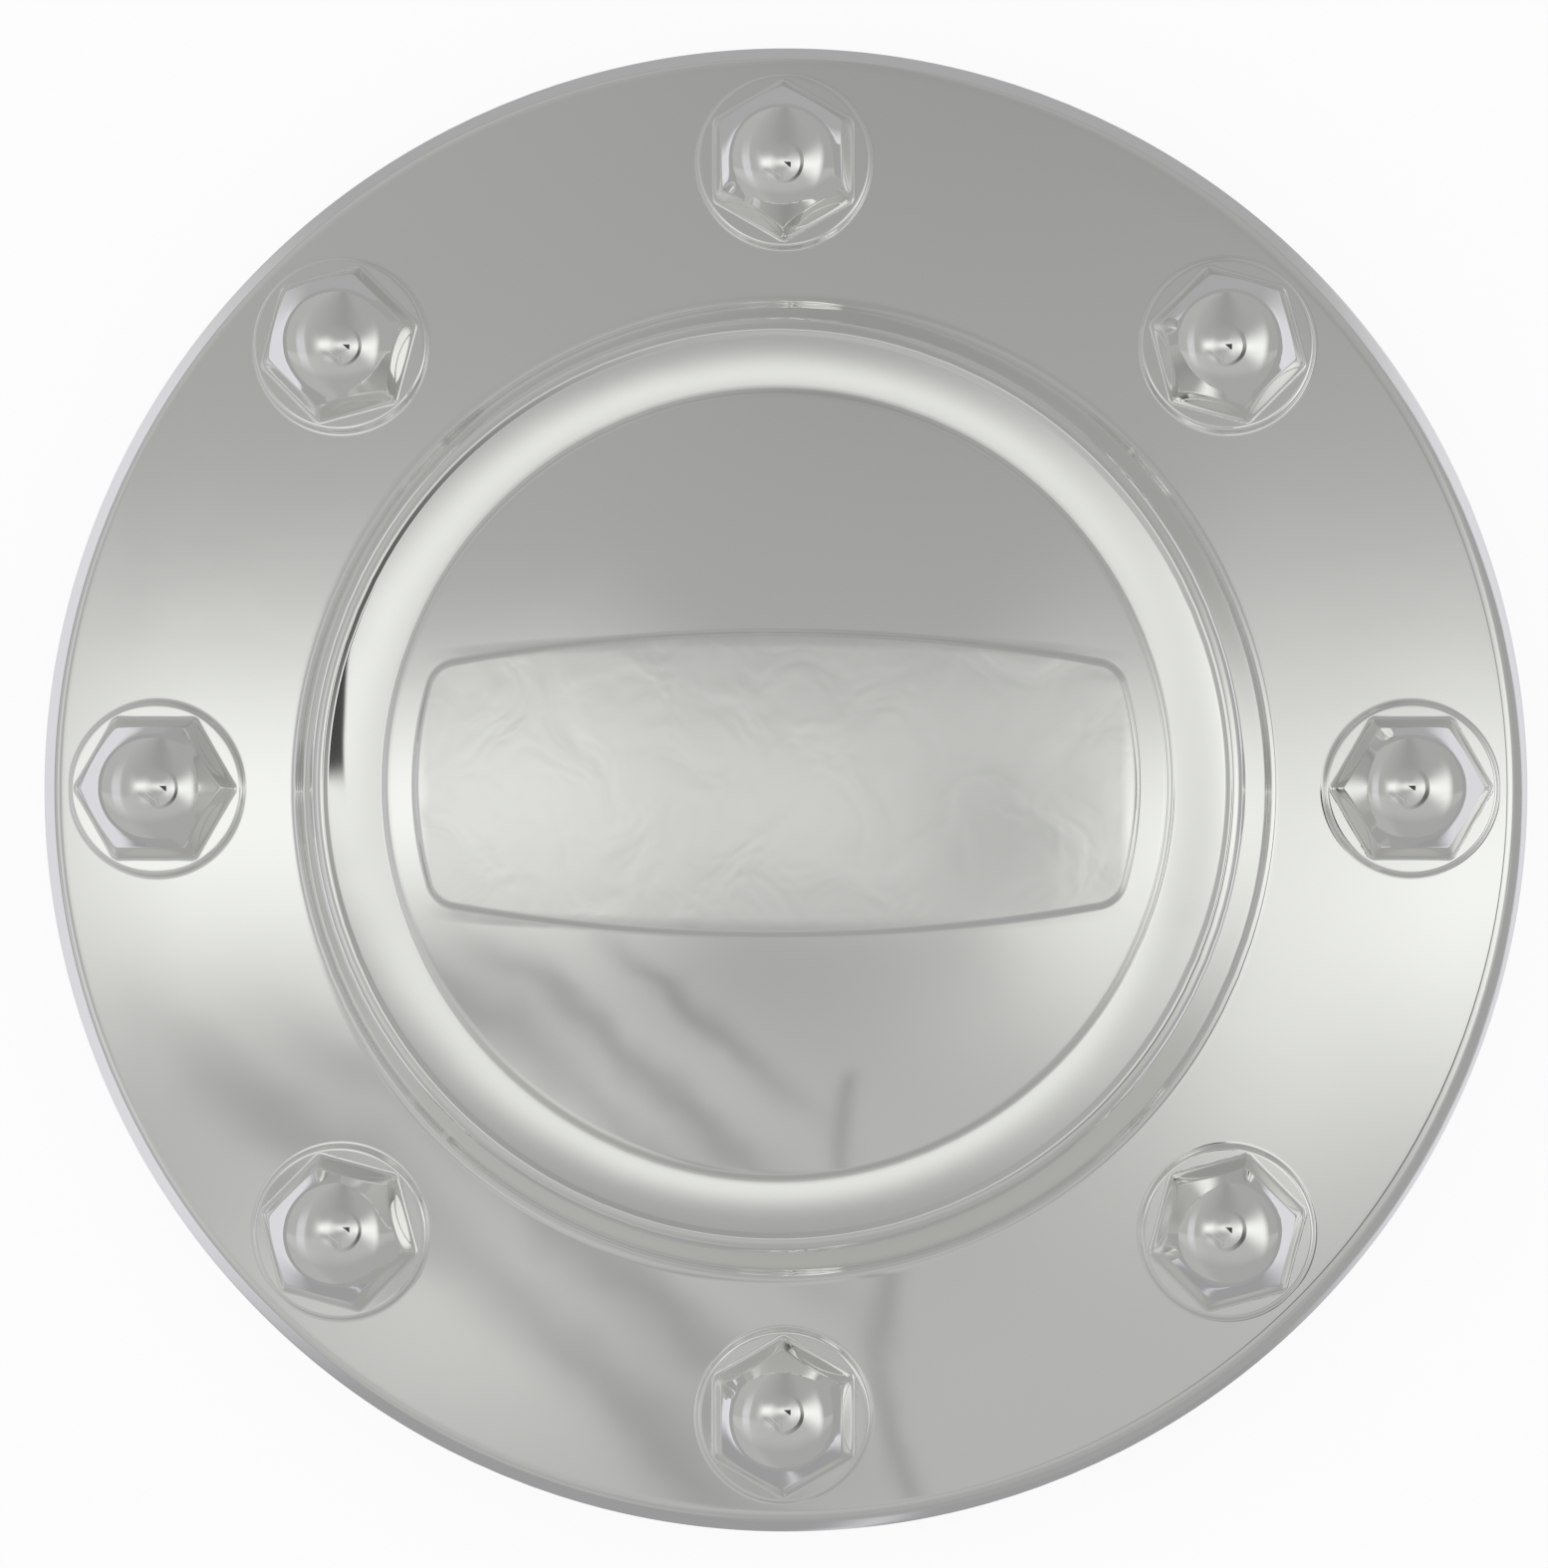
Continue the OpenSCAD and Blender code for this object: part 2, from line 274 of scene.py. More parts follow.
@dataclass(frozen=True)
class Section:
    """Half section of the moulding, in millimetres and degrees.

    The sizes are the part's own, but for the lip at the crease, the chamfer in place of the rim's roll, and
    the cuts, which say how far each corner of a line is softened.
    """

    rim_d: float = 228.6
    rim_roll_w: float = 9.9
    rim_roll_h: float = 2.8
    rim_roll_slope: float = 12.0
    rim_skirt_h: float = 1.8
    rim_skirt_t: float = 2.0
    wall_t: float = 2.5
    plate_slope_out: float = 1.5
    plate_slope_in: float = 0.8
    dome_base_d: float = 151.0
    dome_fillet_r: float = 2.0
    dome_h: float = 12.8
    wall_run: float = 8.0
    bead_r: float = 2.6
    bead_end_slope: float = 3.0
    cove_slope_out: float = 18.0
    cove_slope_in: float = 6.0
    cove_w: float = 8.6
    plateau_step_h: float = 1.1
    plateau_step_w: float = 0.8
    plateau_crown_r: float = 600.0
    lid_w: float = 0.8
    lip_w: float = 0.85
    lip_slope: float = 26.3
    lip_gap: float = 0.2
    dome_cuts: tuple[float, ...] = (0.0, 0.0, 0.0, 0.22, 0.16, 0.3, 0.25)
    chamfer_top: float = 111.4
    chamfer_slope: float = 40.0
    heel_w: float = 0.8
    rim_cuts: tuple[float, ...] = (0.9, 0.8, 0.35)
    leg_reach: float = 13.2

    @property
    def rim_r(self) -> float:
        """Outer radius."""
        return self.rim_d / 2

    @property
    def plate_out(self) -> np.ndarray:
        """Point where the plate would meet the part's elliptical roll, at the roll's own slope.

        Returns:
            Radius and height.
        """
        ratio = self.rim_roll_w / self.rim_roll_h
        start = np.degrees(np.arctan(tangent(self.rim_roll_slope) * ratio))
        centre = np.array([self.rim_r - self.rim_roll_w, self.leg_reach + self.rim_skirt_h])
        return centre + np.array([self.rim_roll_w, self.rim_roll_h]) * upright(start)

    @property
    def base_r(self) -> float:
        """Radius where the foot fillet of the dome meets the plate."""
        return self.dome_base_d / 2

    @property
    def plate_r(self) -> float:
        """Radius of the plate's arc."""
        return arc_radius(self.plate_out[0] - self.base_r, self.plate_slope_out, self.plate_slope_in)

    @property
    def plate_c(self) -> np.ndarray:
        """Centre of the plate's arc, far below."""
        return self.plate_out - self.plate_r * upright(self.plate_slope_out)

    @property
    def base(self) -> np.ndarray:
        """Foot of the dome: the end of the fillet on the plate."""
        rise = self.plate_r * upright(self.plate_slope_in)[1]
        return np.array([self.base_r, self.plate_c[1] + rise])

    @property
    def crease(self) -> np.ndarray:
        """Point of the crease between the bead and the cove."""
        return self.base + np.array([-self.wall_run, self.dome_h])

    @property
    def bead_c(self) -> np.ndarray:
        """Centre of the bead."""
        return self.crease - self.bead_r * upright(self.bead_end_slope)

    @property
    def fillet_c(self) -> np.ndarray:
        """Centre of the foot fillet."""
        return self.base + self.dome_fillet_r * upright(self.plate_slope_in)

    @property
    def draft(self) -> float:
        """Angle of the wall's normal: the wall touches the bead and the fillet.

        Returns:
            The angle off the radial direction, in degrees.
        """
        span = self.fillet_c - self.bead_c
        lean = np.arccos((self.bead_r + self.dome_fillet_r) / np.linalg.norm(span))
        return float(np.degrees(np.arctan2(span[1], span[0]) + lean))

    @property
    def plateau_r(self) -> float:
        """Radius of the plateau."""
        return float(self.crease[0] - self.cove_w - self.plateau_step_w)

    @property
    def cove_r(self) -> float:
        """Radius of the cove's arc."""
        return arc_radius(self.cove_w, self.cove_slope_out, self.cove_slope_in)

    @property
    def cove_c(self) -> np.ndarray:
        """Centre of the cove's arc, above the face."""
        return self.crease + self.cove_r * upright(-self.cove_slope_out)

    @property
    def crown_c(self) -> float:
        """Height of the centre of the plateau's sphere, whose edge stands a step above the cove."""
        edge = self.cove_c[1] - self.cove_r * upright(self.cove_slope_in)[1] + self.plateau_step_h
        return float(edge - np.sqrt(self.plateau_crown_r**2 - self.plateau_r**2))

    def crown_z(self, r: np.ndarray | float, depth: float = 0.0) -> np.ndarray:
        """Height of the plateau at a radius: a sphere about a centre on the axis."""
        return self.crown_c + np.sqrt((self.plateau_crown_r - depth) ** 2 - r**2)

    def plate_z(self, r: np.ndarray | float) -> np.ndarray:
        """Height of the plate at a radius: a circle about a centre far below."""
        return self.plate_c[1] + np.sqrt(self.plate_r**2 - (r - self.plate_c[0]) ** 2)

    def dome_line(self, depth: float, start_r: float, fine: int) -> np.ndarray:
        """The dome's section from the plate up to the plateau's edge, set back by a depth.

        Args:
            depth: distance behind the face. The back has no lip at the crease.
            start_r: radius on the plate where the line starts.
            fine: steps on each arc.

        Returns:
            Rows of radius and height.
        """
        fillet_r = self.dome_fillet_r + depth
        foot = self.fillet_c - fillet_r * upright(self.plate_slope_in)
        plate = line([start_r, self.plate_z(start_r) - depth], foot, 2)
        fillet = arc(self.fillet_c, fillet_r, 270 - self.plate_slope_in, 180 + self.draft, fine)
        edge_r = self.plateau_r - depth / 2
        lid = np.array([[r, self.crown_z(r, depth)] for r in (edge_r, edge_r - self.lid_w)])
        if depth > 0:
            cove_r = self.cove_r + depth
            start = np.degrees(np.arcsin((self.bead_c[0] - self.cove_c[0]) / cove_r))
            cove = arc(self.cove_c, cove_r, start - 90, self.cove_slope_in - 90, fine)
            bead = self.bead_c + (self.bead_r - depth) * upright(90 - self.draft)
            return np.vstack([plate, fillet[1:], line(fillet[-1], bead, 3)[1:], cove, lid])
        bead = arc(self.bead_c, self.bead_r, self.draft, 90 - self.bead_end_slope, fine + 2)
        cove = arc(self.cove_c, self.cove_r, self.cove_slope_out - 90, self.cove_slope_in - 90, fine)
        lip = cove[0] - self.lip_w * np.array([1.0, tangent(self.lip_slope)])
        drop = lip[1] - np.interp(-lip[0], -cove[:, 0], cove[:, 1])
        fade = np.clip((cove[:, 0] - cove[-1, 0]) / (lip[0] - cove[-1, 0]), 0.0, 1.0)
        cove[:, 1] += drop * fade**2
        cove = np.vstack([lip, cove[cove[:, 0] < lip[0] - self.lip_gap]])
        parts = [plate, fillet, line(fillet[-1], bead[0], 3), bead, line(bead[-1], lip, 3), cove,
                 line(cove[-1], lid[0], 2), lid]
        return joined(parts, self.dome_cuts)

    def rim_line(self, start_r: float, rows: int) -> np.ndarray:
        """The face from the plate's edge over the rim and round the skirt's back edge.

        The rim's roll is drawn as a chamfer with soft edges.

        Args:
            start_r: radius where the line starts, on the plate.
            rows: steps on each soft edge.

        Returns:
            Rows of radius and height.
        """
        start, top = (np.array([r, self.plate_z(r)]) for r in (start_r, self.chamfer_top))
        side = np.array([self.rim_r, top[1] - (self.rim_r - top[0]) * tangent(self.chamfer_slope)])
        heel = np.array([self.rim_r, self.leg_reach])
        stops = [start, top, side, heel, heel - np.array([self.heel_w, 0.0])]
        parts = [line(a, b, n) for a, b, n in zip(stops, stops[1:], (1, 2, 3, 1))]
        return joined(parts, self.rim_cuts, rows)


@dataclass(frozen=True)
class DummyNut:
    """One hollow dummy nut on its flange, in millimetres, seen from above its own centre."""

    pitch_r: float = 95.85
    count: int = 8
    flange_d: float = 26.8
    flange_h: float = 1.1
    flange_edge_r: float = 0.7
    af_base: float = 21.1
    af_crown: float = 18.4
    face_h: float = 4.0
    crown_r: float = 11.4
    steepest: float = 46.0
    steep_inside: float = 3.6
    corner_power: float = 70.0
    foot_blend: float = 0.9
    crown_blend: float = 0.2
    wall_t: float = 2.2
    corner_packing: float = 0.6

    @property
    def tip(self) -> float:
        """Height of the crown's tip above the flange."""
        return self.face_h + float(self.drop(self.af_crown / 2))

    def drop(self, reach: np.ndarray | float) -> np.ndarray:
        """Fall of the crown below its tip: a sphere that runs on as a cone where it is steepest.

        Args:
            reach: distance from the nut's axis.

        Returns:
            Height below the tip.
        """
        turn = self.crown_r * np.sin(np.radians(self.steepest))
        ball = self.crown_r - np.sqrt(self.crown_r**2 - np.minimum(reach, turn) ** 2)
        return ball + np.maximum(reach - turn, 0.0) * tangent(self.steepest)

    def shape(self, angle: np.ndarray) -> np.ndarray:
        """Half the width across the flats over the radius: a high power mean of cosines rounds corners."""
        across = np.abs(np.cos(angle[..., None] - np.radians([30.0, 90.0, 150.0]))) ** self.corner_power
        return across.sum(-1) ** (1 / self.corner_power)

    def crest(self, angle: np.ndarray) -> np.ndarray:
        """Radius at an angle where face and crown meet: a hexagon with straight sides."""
        return self.af_crown / 2 / self.shape(angle)

    def height(self, radius: np.ndarray, angle: np.ndarray) -> np.ndarray:
        """Height above the flange: the lower of the crown and the leaning faces, which run out at the foot.

        Args:
            radius: distance from the nut's axis.
            angle: angle about it.

        Returns:
            Height of the surface.
        """
        crest_z = self.tip - self.drop(self.crest(angle))
        out = (self.af_base / 2 - radius * self.shape(angle)) / (self.af_base / 2 - self.af_crown / 2)
        face = crest_z * np.minimum(out, 1.0) + self.steep_inside * np.maximum(out - 1.0, 0.0)
        crown = self.tip - self.drop(radius)
        return -softer(-crown, -softer(face, np.zeros_like(face), self.foot_blend), self.crown_blend)

    def rows(self, angle: np.ndarray) -> np.ndarray:
        """Points from the flange's rounded edge up over the faces to just short of the tip.

        Args:
            angle: angles of the spokes.

        Returns:
            Rows by spokes by 3, about the nut's own axis, from the flange's edge inwards.
        """
        packed = angle - self.corner_packing * np.sin(6 * angle) / 6
        edge_r = self.flange_d / 2 - self.flange_edge_r
        turn = np.radians(np.linspace(0.0, 90.0, 6))[:, None]
        r, z = edge_r + self.flange_edge_r * np.cos(turn), self.flange_edge_r * (np.sin(turn) - 1)
        foot, crest = self.af_base / 2 / self.shape(packed), self.crest(packed)
        share = np.array([0.86, 0.7, 0.54, 0.4, 0.28, 0.18, 0.09, 0.0])[:, None]
        flange = self.lifted(share * edge_r + (1 - share) * foot, angle + (packed - angle) * (1 - share**2))
        climb = np.array([0.06, 0.14, 0.28, 0.5, 0.7, 0.82, 0.9, 0.96, 1.0])[:, None]
        faces = self.lifted(foot + (crest - foot) * climb, packed + 0 * climb)
        inward = np.array([0.985, 0.97, 0.955, 0.94, 0.92, 0.88, 0.82, 0.75, 0.66, 0.56, 0.45, 0.34, 0.22,
                           0.11, 0.04])[:, None]
        even = inward * (crest * inward + (1 - inward) * crest.mean())
        crown = self.lifted(even, angle + (packed - angle) * inward**2)
        return np.concatenate([polar(r, angle, z), flange, faces, crown])

    def lifted(self, radius: np.ndarray, angle: np.ndarray) -> np.ndarray:
        """Points of the nut's height field at polar places about its axis."""
        return polar(radius, angle, self.height(radius, angle))


@dataclass(frozen=True)
class Sector:
    """One eighth of the plate round a nut, laid out as spokes from the nut to the sector's outline.

    The steps are those on half the outer arc, on one side, and on the whole inner arc.
    """

    pitch_r: float
    inner_r: float
    outer_r: float
    half: float
    steps: tuple[int, int, int]

    @property
    def turns(self) -> np.ndarray:
        """Azimuths of all the nuts."""
        return np.arange(round(np.pi / self.half)) * 2 * self.half

    def corner(self, radius: float) -> float:
        """Angle about the nut of the sector's corner at a radius."""
        return float(np.arctan2(radius * np.sin(self.half), radius * np.cos(self.half) - self.pitch_r))

    def angles(self) -> np.ndarray:
        """Angles of the spokes about the nut, evenly stepped between the sector's four corners.

        Returns:
            One angle for each spoke, from the middle of the outer arc round anticlockwise.
        """
        far, near, whole = self.corner(self.outer_r), self.corner(self.inner_r), 2 * np.pi
        stops = [0.0, far, near, whole - near, whole - far, whole]
        counts = self.steps + self.steps[1::-1]
        return np.concatenate([spaced(*span) for span in zip(stops, stops[1:], counts)])

    def outline(self, angle: np.ndarray) -> np.ndarray:
        """Distance from the nut to the sector's outline: a far circle, two straight sides and a near circle.

        Args:
            angle: angles of the spokes.

        Returns:
            Length of each spoke.
        """
        tiny = 1e-9
        p, cos, sin = self.pitch_r, np.cos(angle), np.abs(np.sin(angle))
        outer = -p * cos + np.sqrt((p * cos) ** 2 - p * p + self.outer_r**2)
        inner = -p * cos - np.sqrt(np.maximum((p * cos) ** 2 - p * p + self.inner_r**2, 0.0))
        slant = np.tan(self.half)
        side = p * slant / np.maximum(sin - slant * cos, 1e-6)
        from_out = np.minimum(angle, 2 * np.pi - angle)
        far, near = self.corner(self.outer_r) + tiny, self.corner(self.inner_r) - tiny
        return np.where(from_out <= far, outer, np.where(from_out >= near, inner, side))

    def azimuths(self, inner: bool) -> np.ndarray:
        """Azimuths about the cap's axis of all the points on the outer or the inner circle, in turning order.

        Args:
            inner: which circle.

        Returns:
            Azimuths of the eight sectors' points in one array.
        """
        angle = self.angles()
        x, y, _ = polar(self.outline(angle), angle, 0.0).T
        turn = np.arctan2(y, self.pitch_r + x)
        outer, start = self.steps[0], self.steps[0] + self.steps[1]
        if inner:
            own = turn[start:start + self.steps[2] + 1][::-1][:-1]
        else:
            own = np.concatenate([turn[-outer:], turn[:outer]])
        return (self.turns[:, None] + own).ravel()

    def around(self, grid: np.ndarray) -> np.ndarray:
        """Copies of a grid about the nut's axis, one at each nut of the cap."""
        return turned(grid + np.array([self.pitch_r, 0.0, 0.0]), self.turns)


@dataclass(frozen=True)
class Panel:
    """Raised bare panel across the plateau, in millimetres."""

    width: float = 108.2
    middle_h: float = 45.6
    end_h: float = 34.7
    corner_r: float = 5.0
    raised: float = 0.8
    bevel_w: float = 0.9
    soften: float = 0.14

    def quarter(self, counts: tuple[int, int, int]) -> tuple[np.ndarray, np.ndarray]:
        """A quarter of the outline: an arc about the cap's axis, a round corner and a long bowed side.

        Args:
            counts: steps on the end, the corner and the side.

        Returns:
            Points and outward normals, from the end's middle to the side's middle, without the last.
        """
        end_r, bow = self.width / 2, (self.middle_h - self.end_h) / 2
        side_r = (end_r**2 + bow**2) / (2 * bow)
        drop = side_r - self.middle_h / 2
        a, b = end_r - self.corner_r, side_r - self.corner_r
        y = (b * b - a * a - drop * drop) / (2 * drop)
        x = np.sqrt(a * a - y * y)
        stops = [0.0, np.arctan2(y, x), np.arctan2(y + drop, x), np.pi / 2]
        angle = np.concatenate([spaced(*span) for span in zip(stops, stops[1:], counts)])
        normal = np.stack([np.cos(angle), np.sin(angle)], -1)
        centre = np.repeat([[0.0, 0.0], [x, y], [0.0, -drop]], counts, axis=0)
        radius = np.repeat([end_r, self.corner_r, side_r], counts)
        return centre + radius[:, None] * normal, normal

    def outline(self, columns: int) -> tuple[np.ndarray, np.ndarray]:
        """The whole outline from four mirrored quarters, closer stepped round the corners.

        Args:
            columns: number of points, a multiple of four.

        Returns:
            Points and outward normals.
        """
        each = columns // 4
        counts = (each // 6, each // 4, each - each // 6 - each // 4)
        whole = []
        for part, top in zip(self.quarter(counts), (self.middle_h / 2, 1.0)):
            mirrored = np.vstack([[0.0, top], part[:0:-1]]) * np.array([-1.0, 1.0])
            whole.append(np.vstack([part, mirrored, -part, -mirrored]))
        return tuple(whole)

    def lift(self, offset: float) -> float:
        """Height over the plateau at a distance outside the outline: a bevel with softened foot and edge."""
        rise = ramp(np.array([-offset, -offset - self.bevel_w]), self.soften)
        return float((rise[0] - rise[1]) * self.raised / self.bevel_w)


@dataclass(frozen=True)
class Moulding:
    """The plated moulding: face and back as one closed skin."""

    section: Section = field(default_factory=Section)
    nut: DummyNut = field(default_factory=DummyNut)
    panel: Panel = field(default_factory=Panel)
    plate_inner: float = 76.6
    plate_outer: float = 110.0
    back_outer: float = 110.6
    foot_r: float = 0.25
    hole_gap: float = 0.6
    hollow_lip: float = 0.5
    hollow_round: float = 0.3

    @property
    def nut_z(self) -> float:
        """Height of the flanges' upper faces."""
        return float(self.section.plate_z(self.nut.pitch_r)) + self.nut.flange_h

    @property
    def face_sector(self) -> Sector:
        """Layout of the face's sectors."""
        return self.sector(self.plate_outer, (24, 16, 28))

    @property
    def back_sector(self) -> Sector:
        """Layout of the back's sectors, with half the spokes."""
        return self.sector(self.back_outer, (12, 8, 14))

    def sector(self, outer_r: float, steps: tuple[int, int, int]) -> Sector:
        """Layout of the sectors out to a radius."""
        return Sector(self.nut.pitch_r, self.plate_inner, outer_r, np.pi / self.nut.count, steps)

    def revolve(self, profile: np.ndarray, azimuth: np.ndarray) -> np.ndarray:
        """Turns a section about the axis: each row is one circle."""
        return polar(profile[:, :1], azimuth, profile[:, 1:])

    def on_plate(self, reach: np.ndarray, angle: np.ndarray, depth: float) -> np.ndarray:
        """Points at polar places about a nut's axis, set back behind the plate by a depth.

        Args:
            reach: distances from the nut's axis.
            angle: angles about it.
            depth: distance below the plate's face.

        Returns:
            Rows by spokes by 3, about the nut's own axis.
        """
        place = polar(reach, angle, 0.0)
        away = np.hypot(self.nut.pitch_r + place[..., 0], place[..., 1])
        place[..., 2] = self.section.plate_z(away) - depth
        return place

    def lay(self, skin: Skin, sector: Sector, grid: np.ndarray, tip_z: float, slot: int) -> None:
        """Lays a grid round each nut and closes it at the nut's axis.

        Args:
            skin: the moulding's skin.
            sector: layout of the spokes.
            grid: rows by spokes by 3, about the nut's axis.
            tip_z: height of the closing point.
            slot: material slot. The back's columns run the other way.
        """
        for part in sector.around(grid):
            tip = np.append(part[-1, :, :2].mean(0), tip_z)
            numbers = skin.sheet(part[:, ::-1] if slot == BACK else part, slot)
            skin.fan(numbers[-1], tip, slot)

    def face_plate(self, skin: Skin) -> None:
        """Lays the plate round the nuts and the nuts themselves.

        Args:
            skin: the moulding's skin.
        """
        sector, nut = self.face_sector, self.nut
        angle = sector.angles()
        wide = nut.flange_d / 2
        length = sector.outline(angle)
        hole = np.minimum(wide + self.hole_gap, wide + 0.55 * (length - wide))
        share = np.array([1.0, 0.82, 0.62, 0.42, 0.26, 0.14, 0.05, 0.0])[:, None]
        foot = np.array([1.0, 0.45, 0.12, 0.0])[:, None]
        reach = np.concatenate([share * length + (1 - share) * hole, wide + foot * self.foot_r + 0 * angle])
        plate = self.on_plate(reach, angle, 0.0)
        plate[len(share):, :, 2] += np.array([0.0, 0.12, 0.45, 1.0])[:, None] * self.foot_r
        rows = nut.rows(angle)
        rows[..., 2] += self.nut_z
        self.lay(skin, sector, np.concatenate([plate, rows]), self.nut_z + nut.tip, FACE)

    def face_dome(self, skin: Skin) -> None:
        """Turns the dome's wall, bead and cove, and lays the plateau and the panel inside them.

        Args:
            skin: the moulding's skin.
        """
        azimuth = self.face_sector.azimuths(True)
        profile = self.section.dome_line(0.0, self.plate_inner, 10)
        skin.sheet(self.revolve(profile, azimuth))
        outline, normal = self.panel.outline(len(azimuth))
        azimuth = azimuth[np.argsort(np.mod(azimuth + 1e-9, 2 * np.pi))]
        circle = profile[-1, 0] * np.stack([np.cos(azimuth), np.sin(azimuth)], -1)
        offsets = np.array([0.5, 0.3, 0.18, 0.1, 0.04, -0.02, -0.08, -0.16, -0.3, -0.45, -0.6, -0.74, -0.82,
                            -0.88, -0.94, -1.0, -1.08, -1.2, -1.4, -1.8, -2.6])
        band = outline + normal * offsets[:, None, None]
        share = (np.linspace(1.0, 0.0, 12)[:-1] ** 1.4)[:, None, None]
        scale = np.linspace(1.0, 0.0, 14)[1:-1][:, None, None]
        plan = np.concatenate([share * circle + (1 - share) * band[0], band, band[-1] * scale])
        lift = np.concatenate([np.zeros(len(share)), [self.panel.lift(o) for o in offsets],
                               np.full(len(scale), self.panel.raised)])
        z = self.section.crown_z(np.linalg.norm(plan, axis=-1)) + lift[:, None]
        numbers = skin.sheet(stacked(plan[..., 0], plan[..., 1], z))
        skin.fan(numbers[-1], [0.0, 0.0, self.section.crown_z(0.0) + self.panel.raised])

    def face_rim(self, skin: Skin) -> np.ndarray:
        """Turns the rim and the skirt, and returns the numbers of the ring on the skirt's back edge."""
        profile = self.section.rim_line(self.plate_outer, 10)
        return skin.sheet(self.revolve(profile, self.face_sector.azimuths(False))[::-1])[0]

    def back_rim(self, skin: Skin) -> np.ndarray:
        """Turns the inside of the skirt, up to the back of the plate.

        Args:
            skin: the moulding's skin.

        Returns:
            Numbers of the ring on the skirt's back edge.
        """
        s = self.section
        inner = np.array([s.rim_r - s.rim_skirt_t, s.leg_reach])
        top = np.array([self.back_outer, s.plate_z(self.back_outer) - s.wall_t])
        edge = line(inner + np.array([1.0, 0.0]), inner, 1)
        turn = np.linspace(0.0, np.pi / 2, 7)
        width, height = inner[0] - top[0], top[1] - inner[1]
        bend = np.stack([top[0] + width * np.cos(turn), inner[1] + height * np.sin(turn)], -1)
        profile = joined([edge, bend], (0.3,), 3)
        return skin.sheet(self.revolve(profile, self.back_sector.azimuths(False))[:, ::-1], BACK)[0][::-1]

    def back_plate(self, skin: Skin) -> None:
        """Lays the back of the plate and the hollows of the nuts.

        Args:
            skin: the moulding's skin.
        """
        sector, nut, section = self.back_sector, self.nut, self.section
        angle = sector.angles()
        core_r, top_r = nut.af_base / 2 - nut.wall_t, nut.af_crown / 2 - nut.wall_t
        share = np.array([1.0, 0.66, 0.36, 0.14, 0.0])[:, None]
        reach = share * sector.outline(angle) + (1 - share) * (core_r + self.hollow_lip)
        plate = self.on_plate(reach, angle, section.wall_t)
        lip = section.plate_z(nut.pitch_r) - section.wall_t + self.hollow_lip
        ceiling = self.nut_z + nut.tip - nut.wall_t
        radius = np.array([top_r - self.hollow_round, 0.75 * top_r, 0.45 * top_r, 0.18 * top_r])
        shoulder = ceiling - top_r**2 / (2 * nut.crown_r)
        wall = [[core_r, z] for z in (lip, 0.5 * (lip + self.nut_z), self.nut_z)]
        dome = np.stack([radius, ceiling - radius**2 / (2 * nut.crown_r)], -1)
        core = np.vstack([wall, [top_r + self.hollow_round, shoulder - 0.4], dome])
        self.lay(skin, sector, np.concatenate([plate, self.revolve(core, angle)]), ceiling, BACK)

    def back_dome(self, skin: Skin) -> None:
        """Turns the hollow behind the dome.

        Args:
            skin: the moulding's skin.
        """
        s = self.section
        profile = s.dome_line(s.wall_t, self.plate_inner, 6)
        radius = np.linspace(profile[-1, 0], 2.0, 9)[1:]
        profile = np.vstack([profile, np.stack([radius, s.crown_z(radius, s.wall_t)], -1)])
        numbers = skin.sheet(self.revolve(profile, self.back_sector.azimuths(True))[:, ::-1], BACK)
        skin.fan(numbers[-1], [0.0, 0.0, s.crown_z(0.0, s.wall_t)], BACK)

    def build(self, face: bpy.types.Material, back: bpy.types.Material) -> None:
        """Builds the moulding and lets it stand for its node.

        Args:
            face: finish of the face.
            back: finish of the back.
        """
        skin = Skin()
        self.face_plate(skin)
        self.face_dome(skin)
        heel = self.face_rim(skin)
        skin.halve(heel, self.back_rim(skin))
        self.back_plate(skin)
        self.back_dome(skin)
        dressed(skin.build("cap_moulding", face, back), Slot.CHROME, "cap_shell")


